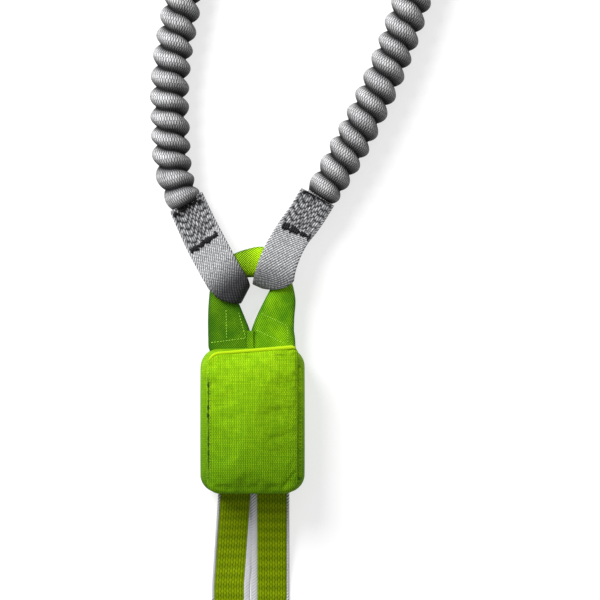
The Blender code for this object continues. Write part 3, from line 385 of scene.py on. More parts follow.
def make_arm(word, route, knit):
    line = smooth_line([(x, y, ARM_HEIGHT) for x, y in route], RIDGE_PITCH / STEPS_PER_RIDGE)
    rings, weave, depths = [], [], []
    for spot, way, travelled in path_frames(line):
        side = way.cross(UP)
        near = max(0.0, 1 - travelled / SEAM_REACH)
        ring = []
        for s in range(ARM_SIDES):
            angle = math.tau * s / ARM_SIDES
            c, v = math.cos(angle), math.sin(angle)
            lean = RIDGE_LEAN * (math.cos(angle / 2) ** 2 + c ** 3) * (1 - near * near)
            jitter = RIDGE_JITTER * noise.noise(Vector((travelled * 45, c * 0.6, v * 0.6)))
            phase = travelled / RIDGE_PITCH + lean + jitter
            # bright is painted light and shade: dark in each crease and on each ridge's lower side, towards the
            # pouch, as if lit from the upper left. SIDE_SHADE paints the arm's right side darker.
            bright = math.sin(math.pi * ((phase + 0.04) % 1.0) ** 1.45)
            ring.append(spot + (side * c + UP * v) * arm_radius(phase, near))
            weave.append((angle * ARM_DIAMETER / 2, travelled))
            depths.append(max(0.0, bright) * (1 - SIDE_SHADE * max(0.0, c)))
        rings.append(ring)
    arm = skin(word + "_gathered_arm", rings, knit, weave, depths)
    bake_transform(arm)
    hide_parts(word + "_arm", word + "_arm_core")
    length = path_frames(line)[-1][2]
    line[::4] + line[-1:]


knit = knit_material()
make_arm("left", LEFT_ARM_ROUTE, knit)
make_arm("right", RIGHT_ARM_ROUTE, knit)


# Straps: flat webbing with round edges and a salt-and-pepper weave. The lower loops pass through the eye and
# fold round a leg of it. Where they are sewn back the knit is coarser, between two black bar tacks.

WEBBING_WIDTH = 0.025
WEBBING_THICKNESS = 0.0018
CLEARANCE = 0.0003
SPLICE_THICKNESS = 0.0036
EYE_BIGHT_THICKNESS = 0.0125
RIBBON_COLUMNS = 14
ROWS_PER_EDGE = 6
SEWN_ROWS = 14
SEWN_FADE = 0.0015
FOLD_ROWS = 14
COLUMN_WIDTH = 0.0014
DASH_LENGTH = 0.0046
TACK_PITCH = 0.0014
TACK_RADIUS = 0.00095
TACK_SWAY = 0.0022
BEAD_SIDES = 6

# Each strap, from the arm down to the fold in the eye's hole: its left and right edge in millimetres from
# the pouch's middle, and height from the sewn block (0) to the crossing over the eye (1). Then its shade
# towards the fold (where it is deepest, where it ends, how strong) and its bar tacks (start, end, reach).
STRAPS = {
    "left": (
        [(-53.6, 135.1, -32.8, 148.1, 0.50), (-48.4, 123.4, -28.2, 138.3, 0.05),
         (-43.2, 111.7, -23.7, 129.2, 0.00), (-37.0, 100.0, -17.9, 118.2, 0.35),
         (-31.5, 90.3, -12.7, 108.4, 0.85), (-27.6, 84.1, -8.1, 100.3, 1.06),
         (-21.8, 78.6, -4.2, 94.2, 1.06), (-14.6, 75.3, -2.3, 90.3, 0.80), (-8.4, 75.6, -2.0, 87.9, 0.00)],
        (0.013, 0.034, 0.93),
        [((-50.6, 133.0), (-34.4, 143.0), 0.0013), ((-39.6, 109.6), (-23.4, 120.6), 0.0021)],
    ),
    "right": (
        [(31.5, 150.6, 52.9, 139.0, 0.50), (25.0, 139.6, 47.7, 130.5, 0.05), (18.5, 130.5, 41.9, 122.1, 0.00),
         (12.7, 121.4, 35.7, 114.3, 0.35), (8.1, 113.0, 31.5, 106.5, 0.85), (4.5, 104.5, 28.2, 97.4, 1.06),
         (2.3, 98.1, 26.9, 90.3, 1.08), (0.8, 93.2, 20.8, 82.3, 0.85), (0.0, 89.0, 7.4, 85.7, 0.00)],
        (0.011, 0.028, 0.62),
        [((34.0, 148.6), (50.2, 140.4), 0.0013), ((20.2, 126.4), (36.6, 118.6), 0.0021)],
    ),
}


def melange_material():
    """Salt-and-pepper webbing: chains of slanted dashes where it is sewn and the depth is 1, and a fine twill
    elsewhere. The shade is that of the fold."""
    n = Nodes("melange_webbing")
    across, along, shade = n.weave()
    columns = across / COLUMN_WIDTH
    start = n.chance(columns.floor(), 7.0) * DASH_LENGTH
    chains = start + columns.zigzag(1.0) * 0.0004 + (n.grain(300) * 0.0009 + along)
    groove = (columns.zigzag(0.5) * 2.0) ** 0.7
    dashes = n.ribs(chains, DASH_LENGTH) ** 0.6
    chance = n.remap(n.chance(columns.floor(), (chains / DASH_LENGTH).floor()), 0.0, 1.0, 0.34, 1.12)
    sewn_tone = dashes * (groove * 0.95 + 0.02) * chance
    one_way = n.ribs(across * 0.75 + along * 0.66, 0.0015)
    other_way = n.ribs(across * 0.75 - along * 0.66, 0.0017)
    plain_tone = (one_way * (other_way * 0.6 + 0.4)) ** 0.8 * 0.84 + 0.15
    edge = n.remap(abs(across), 0.0107, 0.0115)
    edge_tone = n.ribs(along + across, 0.0024) * 0.85 + 0.08
    tone = n.mix(edge * 0.8, n.mix(n.depth(), plain_tone, sewn_tone), edge_tone)
    speckle = n.remap(n.grain(800), 0.35, 0.65, 0.66, 1.22)
    colour = n.mix(tone * speckle * (shade * -1.0 + 1.0), (0.008, 0.008, 0.010), (0.66, 0.665, 0.68))
    return n.finish(colour, 0.8, tone, 0.0004)


def ribbon(name, rows, material, thickness=WEBBING_THICKNESS, joined=False, sewn=None, shade=None,
           columns=RIBBON_COLUMNS):
    """Webbing along rows of (centre, half its width as a vector); the weave runs along it and across it. sewn
    and shade give a number from 0 to 1 at a length along it."""
    section = []
    for c in range(columns + 1):
        share = math.sin(math.pi * (c / columns - 0.5))
        section.append((share, thickness / 2 * (1 - abs(share) ** 10) ** 0.5))
    section += [(share, -lift) for share, lift in reversed(section[1:-1])]
    rings, weave, depths = [], [], []
    frames = path_frames([centre for centre, half in rows], joined)
    for (centre, half), (spot, way, travelled) in zip(rows, frames):
        normal = half.normalized().cross(way).normalized()
        rings.append([centre + half * share + normal * lift for share, lift in section])
        shaded = shade(travelled) if shade else 0.0
        weave += [(half.length * share, travelled, shaded) for share, lift in section]
        depths += [sewn(travelled) if sewn else 0.0] * len(section)
    return skin(name, rings, material, weave, depths, joined)


def smooth_rows(rows, per_row):
    """More rows, on a smooth curve through the given ones; a row is a tuple of numbers and vectors."""
    ends = [rows[0], *rows, rows[-1]]
    fine = []
    for four in zip(ends, ends[1:], ends[2:], ends[3:]):
        for k in range(per_row):
            fine.append(tuple(curve_point(*values, k / per_row) for values in zip(*four)))
    return fine + [rows[-1]]


def strap_rows(edges):
    """Front rows of a lower loop from the arm to the fold, then the back rows under them."""
    block = SPLICE_THICKNESS / 2 + CLEARANCE + WEBBING_THICKNESS / 2
    over_eye = EYE_BIGHT_THICKNESS / 2 + CLEARANCE + WEBBING_THICKNESS / 2
    rows = []
    for left_x, left_y, right_x, right_y, height in edges:
        left = Vector((left_x, left_y, 0)) * MILLIMETRE
        right = Vector((right_x, right_y, 0)) * MILLIMETRE
        lift = block + (over_eye - block) * height
        rows.append(((left + right) / 2 + UP * ARM_HEIGHT, (right - left) / 2, lift))
    front = smooth_rows(rows[:-2], ROWS_PER_EDGE)
    start, bend, fold = rows[-3:]
    for k in range(1, FOLD_ROWS + 1):
        share = k / FOLD_ROWS
        centre, half = [start[i].lerp(bend[i], share).lerp(bend[i].lerp(fold[i], share), share)
                        for i in (0, 1)]
        front.append((centre, half, start[2] * (1 - share ** 2.4) ** 0.5))
    back = [(centre - UP * lift, half) for centre, half, lift in reversed(front[:-1])]
    return [(centre + UP * lift, half) for centre, half, lift in front] + back


def clamp(share):
    return max(0.0, min(1.0, share))


def surface(piece):
    """A function that gives the highest point of a piece's mesh at x and y."""
    faces = [tuple(face.vertices) for face in piece.data.polygons]
    tree = BVHTree.FromPolygons([vertex.co for vertex in piece.data.vertices], faces)

    def top(x, y):
        spot = tree.ray_cast(Vector((x, y, 1.0)), -UP)[0]
        return spot if spot is not None else tree.find_nearest(Vector((x, y, 0.03)))[0]

    return top


def make_lower_loop(word, edges, shading, webbing):
    """One strap; returns a function that gives its top at x and y."""
    rows = strap_rows(edges)
    total = path_frames([centre for centre, half in rows])[-1][2]
    block = (rows[0][0] - rows[SEWN_ROWS][0]).length
    deepest, far, strength = shading

    def sewn(travelled):
        from_end = min(travelled, total - travelled)
        return clamp((block - from_end) / SEWN_FADE)

    def shade(travelled):
        share = clamp((far - abs(travelled - total / 2)) / (far - deepest))
        return strength * share * share * (3 - 2 * share)

    strap = ribbon(word + "_strap", rows, webbing, sewn=sewn, shade=shade)
    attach(strap, word + "_arm_group")
    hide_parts(word + "_lower_loop")
    return surface(strap)


def thread_material(name, colour, dark, ply_length):
    n = Nodes(name)
    ply = n.ribs(n.weave()[1], ply_length)
    return n.finish(n.mix(ply, colour, dark), 0.6, ply, 0.0001)


def oval_ring(centre, across, up, half_width, half_height, sides, squareness=1.0):
    """Points round a centre; squareness 1 is an ellipse and less is nearer a rectangle."""
    ring = []
    for s in range(sides):
        angle = math.tau * s / sides
        c, v = [math.copysign(abs(k) ** squareness, k) for k in (math.cos(angle), math.sin(angle))]
        ring.append(centre + across * half_width * c + up * half_height * v)
    return ring


def thread_beads(name, beads, thread, body):
    """Short pieces of thread as one mesh: each has its sideways direction and (spot, radius, length) rows."""
    points, faces, weave = [], [], []
    for side, stations in beads:
        first = len(points)
        for spot, radius, travelled in stations:
            points += oval_ring(spot, side, UP, radius, radius, BEAD_SIDES)
            weave += [(0.0, travelled)] * BEAD_SIDES
        faces += [tuple(first + i for i in face) for face in tube_faces(len(stations), BEAD_SIDES)]
    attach(mesh_object(name, points, faces, thread, weave), body)


def make_bar_tack(name, tack, top, thread, body):
    """A ragged bar of thick black stitches side by side on a strap; each runs along the strap."""
    start, end = [Vector((*spot, 0)) * MILLIMETRE for spot in tack[:2]]
    way = (end - start).normalized().cross(UP)
    count = round((end - start).length / TACK_PITCH)
    beads = []
    for k in range(count + 1):
        sway = noise.noise(Vector((k * 0.9, start.x * 50, 0))) * TACK_SWAY
        middle = start.lerp(end, k / count) + way * sway
        half = tack[2] * (1.0 + 1.2 * noise.noise(Vector((k * 1.7, start.y * 50, 3))))
        stations = []
        for step, swell in enumerate((0.2, 0.85, 1.0, 0.85, 0.2)):
            spot = middle + way * half * (step / 2 - 1)
            spot = top(spot.x, spot.y) + UP * TACK_RADIUS * (0.35 if 0 < step < 4 else -0.2)
            stations.append((spot, TACK_RADIUS * swell, step * 0.0007))
        beads.append((way.cross(UP), stations))
    thread_beads(name, beads, thread, body)


melange = melange_material()
black_thread = thread_material("black_thread", (0.004, 0.004, 0.005), (0.022, 0.022, 0.025), 0.0007)
for word, (edges, shading, tacks) in STRAPS.items():
    strap_top = make_lower_loop(word, edges, shading, melange)
    for k, tack in enumerate(tacks):
        make_bar_tack(f"{word}_bar_tack_{k + 1}", tack, strap_top, black_thread, word + "_arm_group")


# Eye: a green twill sleeve, flat and wide at the pouch, folded thick at its bight, with its stitching and the
# strip that joins its legs. Its tails run on into the pouch.

EYE_THICKNESS = 0.0048
EYE_CENTRE_HEIGHT = 0.0130
EYE_HINGE_HEIGHT = EYE_CENTRE_HEIGHT + EYE_THICKNESS / 2
EYE_BASE = 0.0472
EYE_BEND = 0.0033
EYE_SIDES = 40
# The join strip: x, half width, thickness and millimetres long
EYE_JOIN = (-0.0014, 0.0022, 0.0006, 14)
STITCH_LENGTH = 0.0019
THREAD_DIAMETER = 0.0005
# Inside the pouch, from the packs to the mouth: y, height, how much further out than the packs' middle, half
# width and half height
EYE_TAIL_X = 0.0131
EYE_TAIL_ROWS = [
    (0.0352, 0.0111, 0.0000, 0.0125, 0.0011), (0.0385, 0.0118, 0.0003, 0.0128, 0.0015),
    (0.0418, 0.0126, 0.0008, 0.0133, 0.0021), (0.0450, 0.0130, 0.0012, 0.0136, 0.0024),
]
# Round the eye from its left leg to its right one: outer and inner edge in millimetres from the pouch's
# middle, roundness from flat (0) to thick (1), and squareness of the section (1 is an ellipse)
EYE_EDGES = [
    (-28.7, 47.2, -1.7, 47.2, 0.00, 0.40), (-28.9, 53.0, -1.6, 53.0, 0.00, 0.40),
    (-29.0, 58.6, -1.9, 58.4, 0.00, 0.42), (-29.0, 67.0, -5.4, 67.4, 0.12, 0.50),
    (-28.6, 76.0, -9.0, 76.2, 0.40, 0.66), (-27.2, 87.0, -12.0, 85.2, 0.72, 0.85),
    (-22.4, 98.4, -10.6, 90.2, 0.94, 0.92), (-14.2, 106.6, -7.0, 92.2, 1.00, 0.96),
    (-4.4, 110.8, -2.2, 92.6, 1.00, 1.00), (6.4, 112.6, 2.6, 92.6, 1.00, 1.00),
    (15.6, 108.6, 7.4, 92.0, 1.00, 0.96), (22.2, 99.2, 10.8, 90.2, 0.94, 0.92),
    (26.0, 88.2, 11.9, 86.4, 0.72, 0.85), (27.9, 77.6, 7.6, 77.6, 0.40, 0.66),
    (27.2, 67.4, 3.0, 68.2, 0.12, 0.50), (26.9, 58.8, -0.7, 58.4, 0.00, 0.42),
    (27.6, 53.0, -0.9, 53.0, 0.00, 0.40), (27.9, 47.2, -0.9, 47.2, 0.00, 0.40),
]
# Stitch lines on the front, as points in millimetres from the pouch's middle
EYE_STITCH_LINES = [
    [(-17.2, 71.5), (-17.0, 61.0), (-16.8, 53.0)], [(-9.2, 70.0), (-6.2, 60.0), (-4.4, 53.0)],
    [(-27.2, 50.2), (-16.0, 51.6), (-4.6, 53.2)], [(2.2, 58.4), (11.0, 54.4), (20.8, 49.6)],
    [(22.6, 60.6), (23.0, 55.0), (23.0, 50.0)], [(5.6, 69.2), (12.0, 66.2), (22.4, 61.2)],
]


def twill_material():
    """Green twill: paler at the bight, where the depth is 1, and darker on the left leg and at the edges."""
    n = Nodes("green_twill")
    across, along, edge = n.weave()
    twill = n.ribs(across * 0.80 + along * 0.60 + n.grain(500) * 0.0003, 0.00105)
    cross = n.ribs(across * 0.60 - along * 0.80, 0.0012)
    yarn = twill * (cross * 0.4 + 0.6)
    faded = n.remap(n.grain(75, 3.0), 0.36, 0.66) - edge * 0.6
    leg = n.mix(faded, (0.110, 0.330, 0.0001), (0.300, 0.640, 0.0003))
    base = n.mix(n.depth(), leg, (0.520, 0.900, 0.002))
    left_leg = n.remap(n.split(n.place())[0], -0.006, 0.004, 0.42, 0.0)
    dark = n.remap(yarn, 0.0, 0.75, 0.8, 0.0) + (edge * 0.4 + left_leg)
    return n.finish(n.mix(dark, base, (0.014, 0.075, 0.0002)), 0.75, yarn, 0.0003)


def sewing_thread(name, colour):
    return thread_material(name, colour, tuple(c * 0.78 for c in colour), 0.0006)


def stitches(name, lines, thread, body, lift):
    """Stitches along lines of points that lie on the cloth; lift is how far they stand out."""
    beads = []
    for line in lines:
        line = smooth_line(line, STITCH_LENGTH)
        for a, b in zip(line, line[1:]):
            a, b = a.lerp(b, 0.12), a.lerp(b, 0.88)
            stations = []
            for k, (swell, rise) in enumerate(((0.35, -0.5), (1.0, 0.0), (1.0, 0.0), (0.35, -0.5))):
                spot = a.lerp(b, k / 3) + UP * (lift + THREAD_DIAMETER * rise)
                stations.append((spot, THREAD_DIAMETER / 2 * swell, STITCH_LENGTH * k / 3))
            beads.append(((b - a).cross(UP).normalized(), stations))
    thread_beads(name, beads, thread, body)


def bend_at_eye(piece):
    """Bakes the piece's transform into its mesh."""
    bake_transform(piece)


def eye_tail(side):
    """Rows of (centre, half width as a vector, half height, squareness) from the pack to the mouth."""
    rows = []
    for y, z, spread, half_width, half_height in EYE_TAIL_ROWS:
        spot = Vector((side * (EYE_TAIL_X + spread), y, z))
        rows.append((spot, Vector((-side * half_width, 0, 0)), half_height, 0.4))
    return rows


def make_eye(twill):
    rows = eye_tail(-1)
    for outer_x, outer_y, inner_x, inner_y, roundness, squareness in EYE_EDGES:
        outer = Vector((outer_x * MILLIMETRE, outer_y * MILLIMETRE, EYE_CENTRE_HEIGHT))
        inner = Vector((inner_x * MILLIMETRE, inner_y * MILLIMETRE, EYE_CENTRE_HEIGHT))
        thickness = EYE_THICKNESS + (EYE_BIGHT_THICKNESS - EYE_THICKNESS) * roundness
        rows.append(((outer + inner) / 2, (inner - outer) / 2, thickness / 2, squareness))
    rows = smooth_rows(rows + eye_tail(1)[::-1], 6)
    rings, weave, bights = [], [], []
    for (spot, half, half_height, squareness), frame_here in zip(rows, path_frames([row[0] for row in rows])):
        inward = half.normalized()
        ring = oval_ring(spot, inward, UP, half.length, half_height, EYE_SIDES, squareness)
        across = [(point - spot).dot(inward) for point in ring]
        rings.append(ring)
        weave += [(x, frame_here[2], abs(x / half.length) ** 9) for x in across]
        bights += [clamp((spot.y - 0.084) / 0.012)] * EYE_SIDES
    eye = skin("eye_sleeve", rings, twill, weave, bights)
    bend_at_eye(eye)
    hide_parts("eye_loop", "eye_tail_left", "eye_tail_right")
    return surface(eye)


def make_eye_join(twill):
    x, half_width, thickness, length = EYE_JOIN
    rows = [(Vector((x, EYE_BASE - EYE_BEND + k * MILLIMETRE, EYE_HINGE_HEIGHT + 0.0004)),
             Vector((half_width, 0, 0))) for k in range(length + 1)]
    bend_at_eye(ribbon("eye_join", rows, twill, thickness, columns=8))


def make_eye_stitches(top):
    lines = []
    for line in EYE_STITCH_LINES:
        spots = smooth_line([(x, y, 0) for x, y in line], 1.5)
        lines.append([top(spot.x * MILLIMETRE, spot.y * MILLIMETRE) for spot in spots])
    stitches("eye_stitches", lines, sewing_thread("green_thread", (0.40, 0.72, 0.06)), "eye",
             0.1 * MILLIMETRE)


twill = twill_material()
eye_top = make_eye(twill)
make_eye_join(twill)
make_eye_stitches(eye_top)


# Pouch: a tray of padded two-tone fabric with gussets and two mouths, and a crowned cover of the same fabric
# with a slanted top edge, which a cloth simulation puffs out. The cover turns on its right seam.

POUCH_WIDTH = 0.068
POUCH_LENGTH = 0.094
POUCH_DEPTH = 0.032
POUCH_CORNER = 0.012
POUCH_FABRIC = 0.0014
CORNER_POINTS = 9
# Mouths through the tray's ends: centre, then half width, reach and half height
TOP_MOUTH = ((0.0, 0.052, 0.0235), (0.0290, 0.013, 0.0140))
BOTTOM_MOUTH = ((-0.0015, -0.052, 0.0120), (0.0266, 0.013, 0.0034))
COVER_HALF = 0.0293
COVER_CORNER = 0.0085
COVER_TIGHT_CORNER = 0.0030
COVER_SLANT = 0.0046
COVER_DOME = 0.0045
COVER_ROLL = 0.0021
COVER_LOWER_HEM = 0.0004
COVER_UPPER_HEM = 0.0006
COVER_COLUMNS = 52
COVER_ROWS = 76
PUFF_PRESSURE = 5.0
PUFF_FRAMES = 20
PUFF_RANGE = (-0.0005, 0.0045)
# The cut of the tray's upper end: where it starts in height, along and across, and over what length it grows
SLANT_HEIGHT = (0.014, 0.016)
SLANT_ALONG = (0.020, 0.027)
SHOULDER_ACROSS = (0.022, 0.012)
SHOULDER_DROP = 0.0075
YARN = 0.00115


def heather_material(name, first, second, dark, on_walls):
    """Plain weave of two-tone yarn: fine warp and weft, with short lighter and darker lengths of both, and
    painted shade that darkens it towards its lower end and a little towards its left. on_walls is 1 where the
    weave also runs up steep walls."""
    n = Nodes(name)
    x, y, z = n.split(n.place())
    side = z * on_walls + x + n.grain(250) * 0.0005
    up = y + n.grain(230) * 0.0005
    column, row = (side / YARN).floor(), (up / YARN).floor()
    warp_tone = n.chance(column, ((column * 0.0017 + up) / 0.0052).floor())
    weft_tone = n.chance(((row * 0.0019 + side) / 0.0058).floor(), row)
    base = n.mix(n.remap((warp_tone + weft_tone) * 0.5, -0.1, 1.1), first, second)
    yarn = n.ribs(row.zigzag(1.0) * (YARN * 0.25) + side, YARN) * (n.ribs(up, YARN) * 0.45 + 0.4)
    # Painted shade: the fabric is made darker towards the pouch's lower end and a little towards its left.
    painted_shade_gradient = n.remap(x * 0.25 + y, -0.046, 0.036, 0.48, 0.0)
    colour = n.mix(painted_shade_gradient + n.remap(yarn, 0.0, 0.6, 0.68, 0.0), base, dark)
    return n.finish(colour, 0.85, yarn, 0.0002, shine=0.08)


def rounded_outline(half_x, half_y, corner, per_corner):
    outline = []
    for quarter, (sx, sy) in enumerate(((1, 1), (-1, 1), (-1, -1), (1, -1))):
        for k in range(per_corner + 1):
            angle = math.radians(90) * (quarter + k / per_corner)
            outline.append((sx * (half_x - corner) + corner * math.cos(angle),
                            sy * (half_y - corner) + corner * math.sin(angle)))
    return outline


def slanted(x, y, z):
    """A point of the tray, with the upper part of its open end cut down to the left like the cover."""
    high = clamp((z - SLANT_HEIGHT[0]) / SLANT_HEIGHT[1])
    near_top = max(0.0, (y - SLANT_ALONG[0]) / SLANT_ALONG[1])
    shoulder = max(0.0, (abs(x) - SHOULDER_ACROSS[0]) / SHOULDER_ACROSS[1]) ** 2 * SHOULDER_DROP
    return Vector((x, y - (COVER_SLANT * (1 - x / COVER_HALF) / 2 + shoulder) * high * near_top, z))


def cut_mouth(tray, centre, half):
    """Cuts a slot with round ends through the tray's end wall."""
    outline = rounded_outline(half[0], half[2], min(half[0], half[2]) * 0.7, 6)
    rings = [[Vector(centre) + Vector((x, y, z)) for x, z in outline] for y in (-half[1], half[1])]
    tool = skin("mouth_tool", rings, tray.data.materials[0])
    cut = tray.modifiers.new("mouth", "BOOLEAN")
    cut.operation, cut.solver, cut.object = "DIFFERENCE", "EXACT", tool
    bpy.context.view_layer.update()
    shape = tray.evaluated_get(bpy.context.evaluated_depsgraph_get())
    tray.data = bpy.data.meshes.new_from_object(shape)
    tray.modifiers.clear()
    bpy.data.objects.remove(tool)


def soften(piece, levels):
    smooth = piece.modifiers.new("soft", "SUBSURF")
    smooth.levels = smooth.render_levels = levels


def make_tray(fabric):
    """The tray's skin, from the flat back up the bulged gussets to the rim and down inside."""
    wall = POUCH_FABRIC
    profile = [(0.0085, 0.0), (0.004, 0.0), (0.0016, 0.0022), (0.0002, 0.008), (0.0, 0.016), (0.0003, 0.023),
               (0.0014, 0.0285), (0.0040, 0.0316), (0.0105, 0.0318), (0.0105, 0.0318 - wall),
               (0.0048, 0.0314 - wall), (0.0022 + wall, 0.0275), (0.0004 + wall, 0.022), (wall, 0.016),
               (0.0004 + wall, 0.008), (0.0045 + wall, wall * 1.3), (0.0085, wall * 1.2)]
    rings = []
    for inset, z in profile:
        corner = max(POUCH_CORNER - inset * 0.6, 0.004)
        outline = rounded_outline(POUCH_WIDTH / 2 - inset, POUCH_LENGTH / 2 - inset, corner, CORNER_POINTS)
        rings.append([slanted(x, y, z) for x, y in outline])
    tray = skin("pouch_tray", rings, fabric)
    soften(tray, 2)
    cut_mouth(tray, *TOP_MOUTH)
    cut_mouth(tray, *BOTTOM_MOUTH)
    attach(tray, "absorber")
    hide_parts("pouch_back")


def cover_spot(u, v):
    """A point of the flat cover at u across and v up it, from -1 to 1. Its upper right corner is tight."""
    spots = []
    for end, right_corner in ((-1, COVER_CORNER), (1, COVER_TIGHT_CORNER)):
        corner = right_corner if u > 0 else COVER_CORNER
        into_corner = max(0.0, abs(u) * COVER_HALF - (COVER_HALF - corner))
        cut = corner - math.sqrt(max(0.0, corner ** 2 - into_corner ** 2))
        spots.append(end * (POUCH_LENGTH / 2 - cut))
    low = spots[0] + COVER_LOWER_HEM
    top = spots[1] + COVER_UPPER_HEM - COVER_SLANT * (1 - u) / 2
    return COVER_HALF * u, low + (top - low) * (1 + v) / 2


def cover_start():
    """The cover before it is puffed: nearly flat on the rim and rolled down at its edges."""
    points = []
    for r in range(COVER_ROWS + 1):
        v = 2 * r / COVER_ROWS - 1
        for c in range(COVER_COLUMNS + 1):
            u = 2 * c / COVER_COLUMNS - 1
            roll = max(abs(u) ** 14, 0.8 * abs(v) ** 22)
            dome = COVER_DOME * (1 - abs(u) ** 2.2) ** 0.7 * (1 - abs(v) ** 2.6) ** 0.7
            z = POUCH_DEPTH + 2 * CLEARANCE + POUCH_FABRIC + dome - COVER_ROLL * roll
            points.append(Vector((*cover_spot(u, v), z)))
    return points


def puff(cloth, pins):
    """Runs a cloth simulation with the pinned points held, and gives its last shape."""
    group = cloth.vertex_groups.new(name="held")
    group.add(pins, 1.0, "REPLACE")
    sim = cloth.modifiers.new("cloth", "CLOTH")
    settings = {"quality": 6, "mass": 0.15, "tension_stiffness": 15, "compression_stiffness": 15,
                "bending_stiffness": 0.4, "vertex_group_mass": "held", "use_pressure": True,
                "uniform_pressure_force": PUFF_PRESSURE, "shrink_min": -0.02}
    for name, value in settings.items():
        setattr(sim.settings, name, value)
    sim.settings.effector_weights.gravity = 0
    scene = bpy.context.scene
    sim.point_cache.frame_start, sim.point_cache.frame_end = 1, PUFF_FRAMES
    scene.frame_start, scene.frame_end = 1, PUFF_FRAMES
    for frame_number in range(1, PUFF_FRAMES + 1):
        scene.frame_set(frame_number)
    shape = cloth.evaluated_get(bpy.context.evaluated_depsgraph_get())
    spots = [v.co.copy() for v in shape.data.vertices]
    cloth.modifiers.remove(sim)
    return spots


def make_cover(fabric):
    """The cover; returns its final points for the pieces that lie on it."""
    points = cover_start()
    columns = COVER_COLUMNS + 1
    faces = grid_faces(COVER_ROWS + 1, columns, False)
    cover = mesh_object("pouch_cover", points, faces, fabric)
    pins = [r * columns + c for r in range(COVER_ROWS + 1) for c in range(columns)
            if r in (0, 1, COVER_ROWS - 1, COVER_ROWS) or c in (0, 1, COVER_COLUMNS - 1, COVER_COLUMNS)]
    for k, spot in enumerate(puff(cover, pins)):
        rise = max(PUFF_RANGE[0], min(spot.z - points[k].z, PUFF_RANGE[1]))
        points[k] = Vector((spot.x, spot.y, points[k].z + rise))
        cover.data.vertices[k].co = points[k]
    thick = cover.modifiers.new("fabric", "SOLIDIFY")
    thick.thickness = POUCH_FABRIC
    thick.offset = 0
    soften(cover, 1)
    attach(cover, "cover_flap")
    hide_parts("pouch_front")
    return points


# The tray is the cover's fabric with darker colours: painted shade on its gussets and rim.
SHADED_TRAY_COLOURS = ((0.165, 0.380, 0.0004), (0.350, 0.630, 0.004), (0.040, 0.130, 0.0003))
COVER_COLOURS = ((0.195, 0.430, 0.0004), (0.420, 0.730, 0.006), (0.040, 0.130, 0.0003))
make_tray(heather_material("lime_tray", *SHADED_TRAY_COLOURS, 1.0))
cover_points = make_cover(heather_material("lime_cover", *COVER_COLOURS, 0.0))


# Hem, slit and seams: a rolled lime-yellow binding along the slanted top, a dark cord along the slit on the
# left as painted shadow with dark stitches beside it, and stitches along the right seam.

HEM_RADIUS = 0.0013
HEM_START = -0.96
HEM_REACH = 1.94
HEM_STEPS = 20
SLIT_STEPS = 24
SEAM_STEPS = 12


def on_cover(u, v):
    """The point of the cover nearest to u and v, lifted to its outer face."""
    r = round((v + 1) / 2 * COVER_ROWS)
    c = round((u + 1) / 2 * COVER_COLUMNS)
    return cover_points[r * (COVER_COLUMNS + 1) + c] + UP * POUCH_FABRIC / 2


def ring_weave(radius, travelled, sides):
    return [(math.tau * s / sides * radius, travelled) for s in range(sides)]


def beaded_cord(name, line, radii, material, sides):
    """A round cord on the cover with a radius at each point; its weave runs along and around it."""
    rings, weave = [], []
    for radius, (spot, way, travelled) in zip(radii, path_frames(line)):
        side = way.cross(UP).normalized()
        rings.append(oval_ring(spot, side, side.cross(way), radius, radius, sides))
        weave += ring_weave(radius, travelled, sides)
    cord = skin(name, rings, material, weave)
    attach(cord, "cover_flap")
    return cord


def binding_material():
    n = Nodes("lime_binding")
    around, along = n.weave()[:2]
    ply = n.ribs(along + around * 1.1, 0.0015)
    colour = n.mix(n.remap(ply, 0.0, 0.6, 0.6, 0.0), (0.47, 0.69, 0.004), (0.20, 0.36, 0.001))
    return n.finish(colour, 0.6, ply, 0.00025)


def make_hem():
    shares = [HEM_START + HEM_REACH * k / HEM_STEPS for k in range(HEM_STEPS + 1)]
    line = smooth_line([on_cover(u, 1.0) + UP * HEM_RADIUS * 0.5 for u in shares], 0.0009)
    count = len(line)
    radii = [HEM_RADIUS * (0.8 + 0.4 * k / count) * min(1.0, 0.4 + 12 * min(k, count - 1 - k) / count)
             for k in range(count)]
    hem = beaded_cord("pouch_hem", line, radii, binding_material(), 10)
    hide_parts("pouch_binding")
    stitches("hem_stitches", [[on_cover(u, 0.93) for u in shares[2::4]]],
             sewing_thread("lime_thread", (0.34, 0.56, 0.006)), "cover_flap", 0.0)


def make_slit():
    shadow_and_stitch_thread = sewing_thread("painted_slit_shadow_and_dark_stitches", (0.012, 0.035, 0.004))
    spots = [(-0.975 + 0.03 * math.sin(math.pi * k / SLIT_STEPS) ** 2, 0.80 - 1.66 * k / SLIT_STEPS)
             for k in range(SLIT_STEPS + 1)]
    line = smooth_line([on_cover(u, v) for u, v in spots], 0.0011)
    radii = [0.00035 + 0.0009 * abs(noise.noise(Vector((k * 0.23, 4, 0)))) for k in range(len(line))]
    # Painted shadow: a dark cord along the cover's left edge, where the slit between cover and tray is in
    # shade.
    beaded_cord("slit_shadow", line, radii, shadow_and_stitch_thread, 6)
    stitches("slit_stitches", [[on_cover(u + 0.035, v) for u, v in spots[::2]]], shadow_and_stitch_thread,
             "cover_flap", -0.00005)


def make_seam():
    line = [on_cover(0.955, 0.86 - 1.72 * k / SEAM_STEPS) for k in range(SEAM_STEPS + 1)]
    stitches("seam_stitches", [line], sewing_thread("green_seam_thread", (0.20, 0.42, 0.004)),
             "cover_flap", 0.0)


make_hem()
make_slit()
make_seam()


# Closure inside the pouch: a loop tape sewn on the rim and a hook tape sewn under the cover, which lie one on
# the other while the pouch is shut.

TAPE_WIDTH = 0.006
TAPE_THICKNESS = 0.0008
TAPE_HALF_LENGTH = 0.033
TAPE_X = -0.0235
TAPE_STEPS = 34


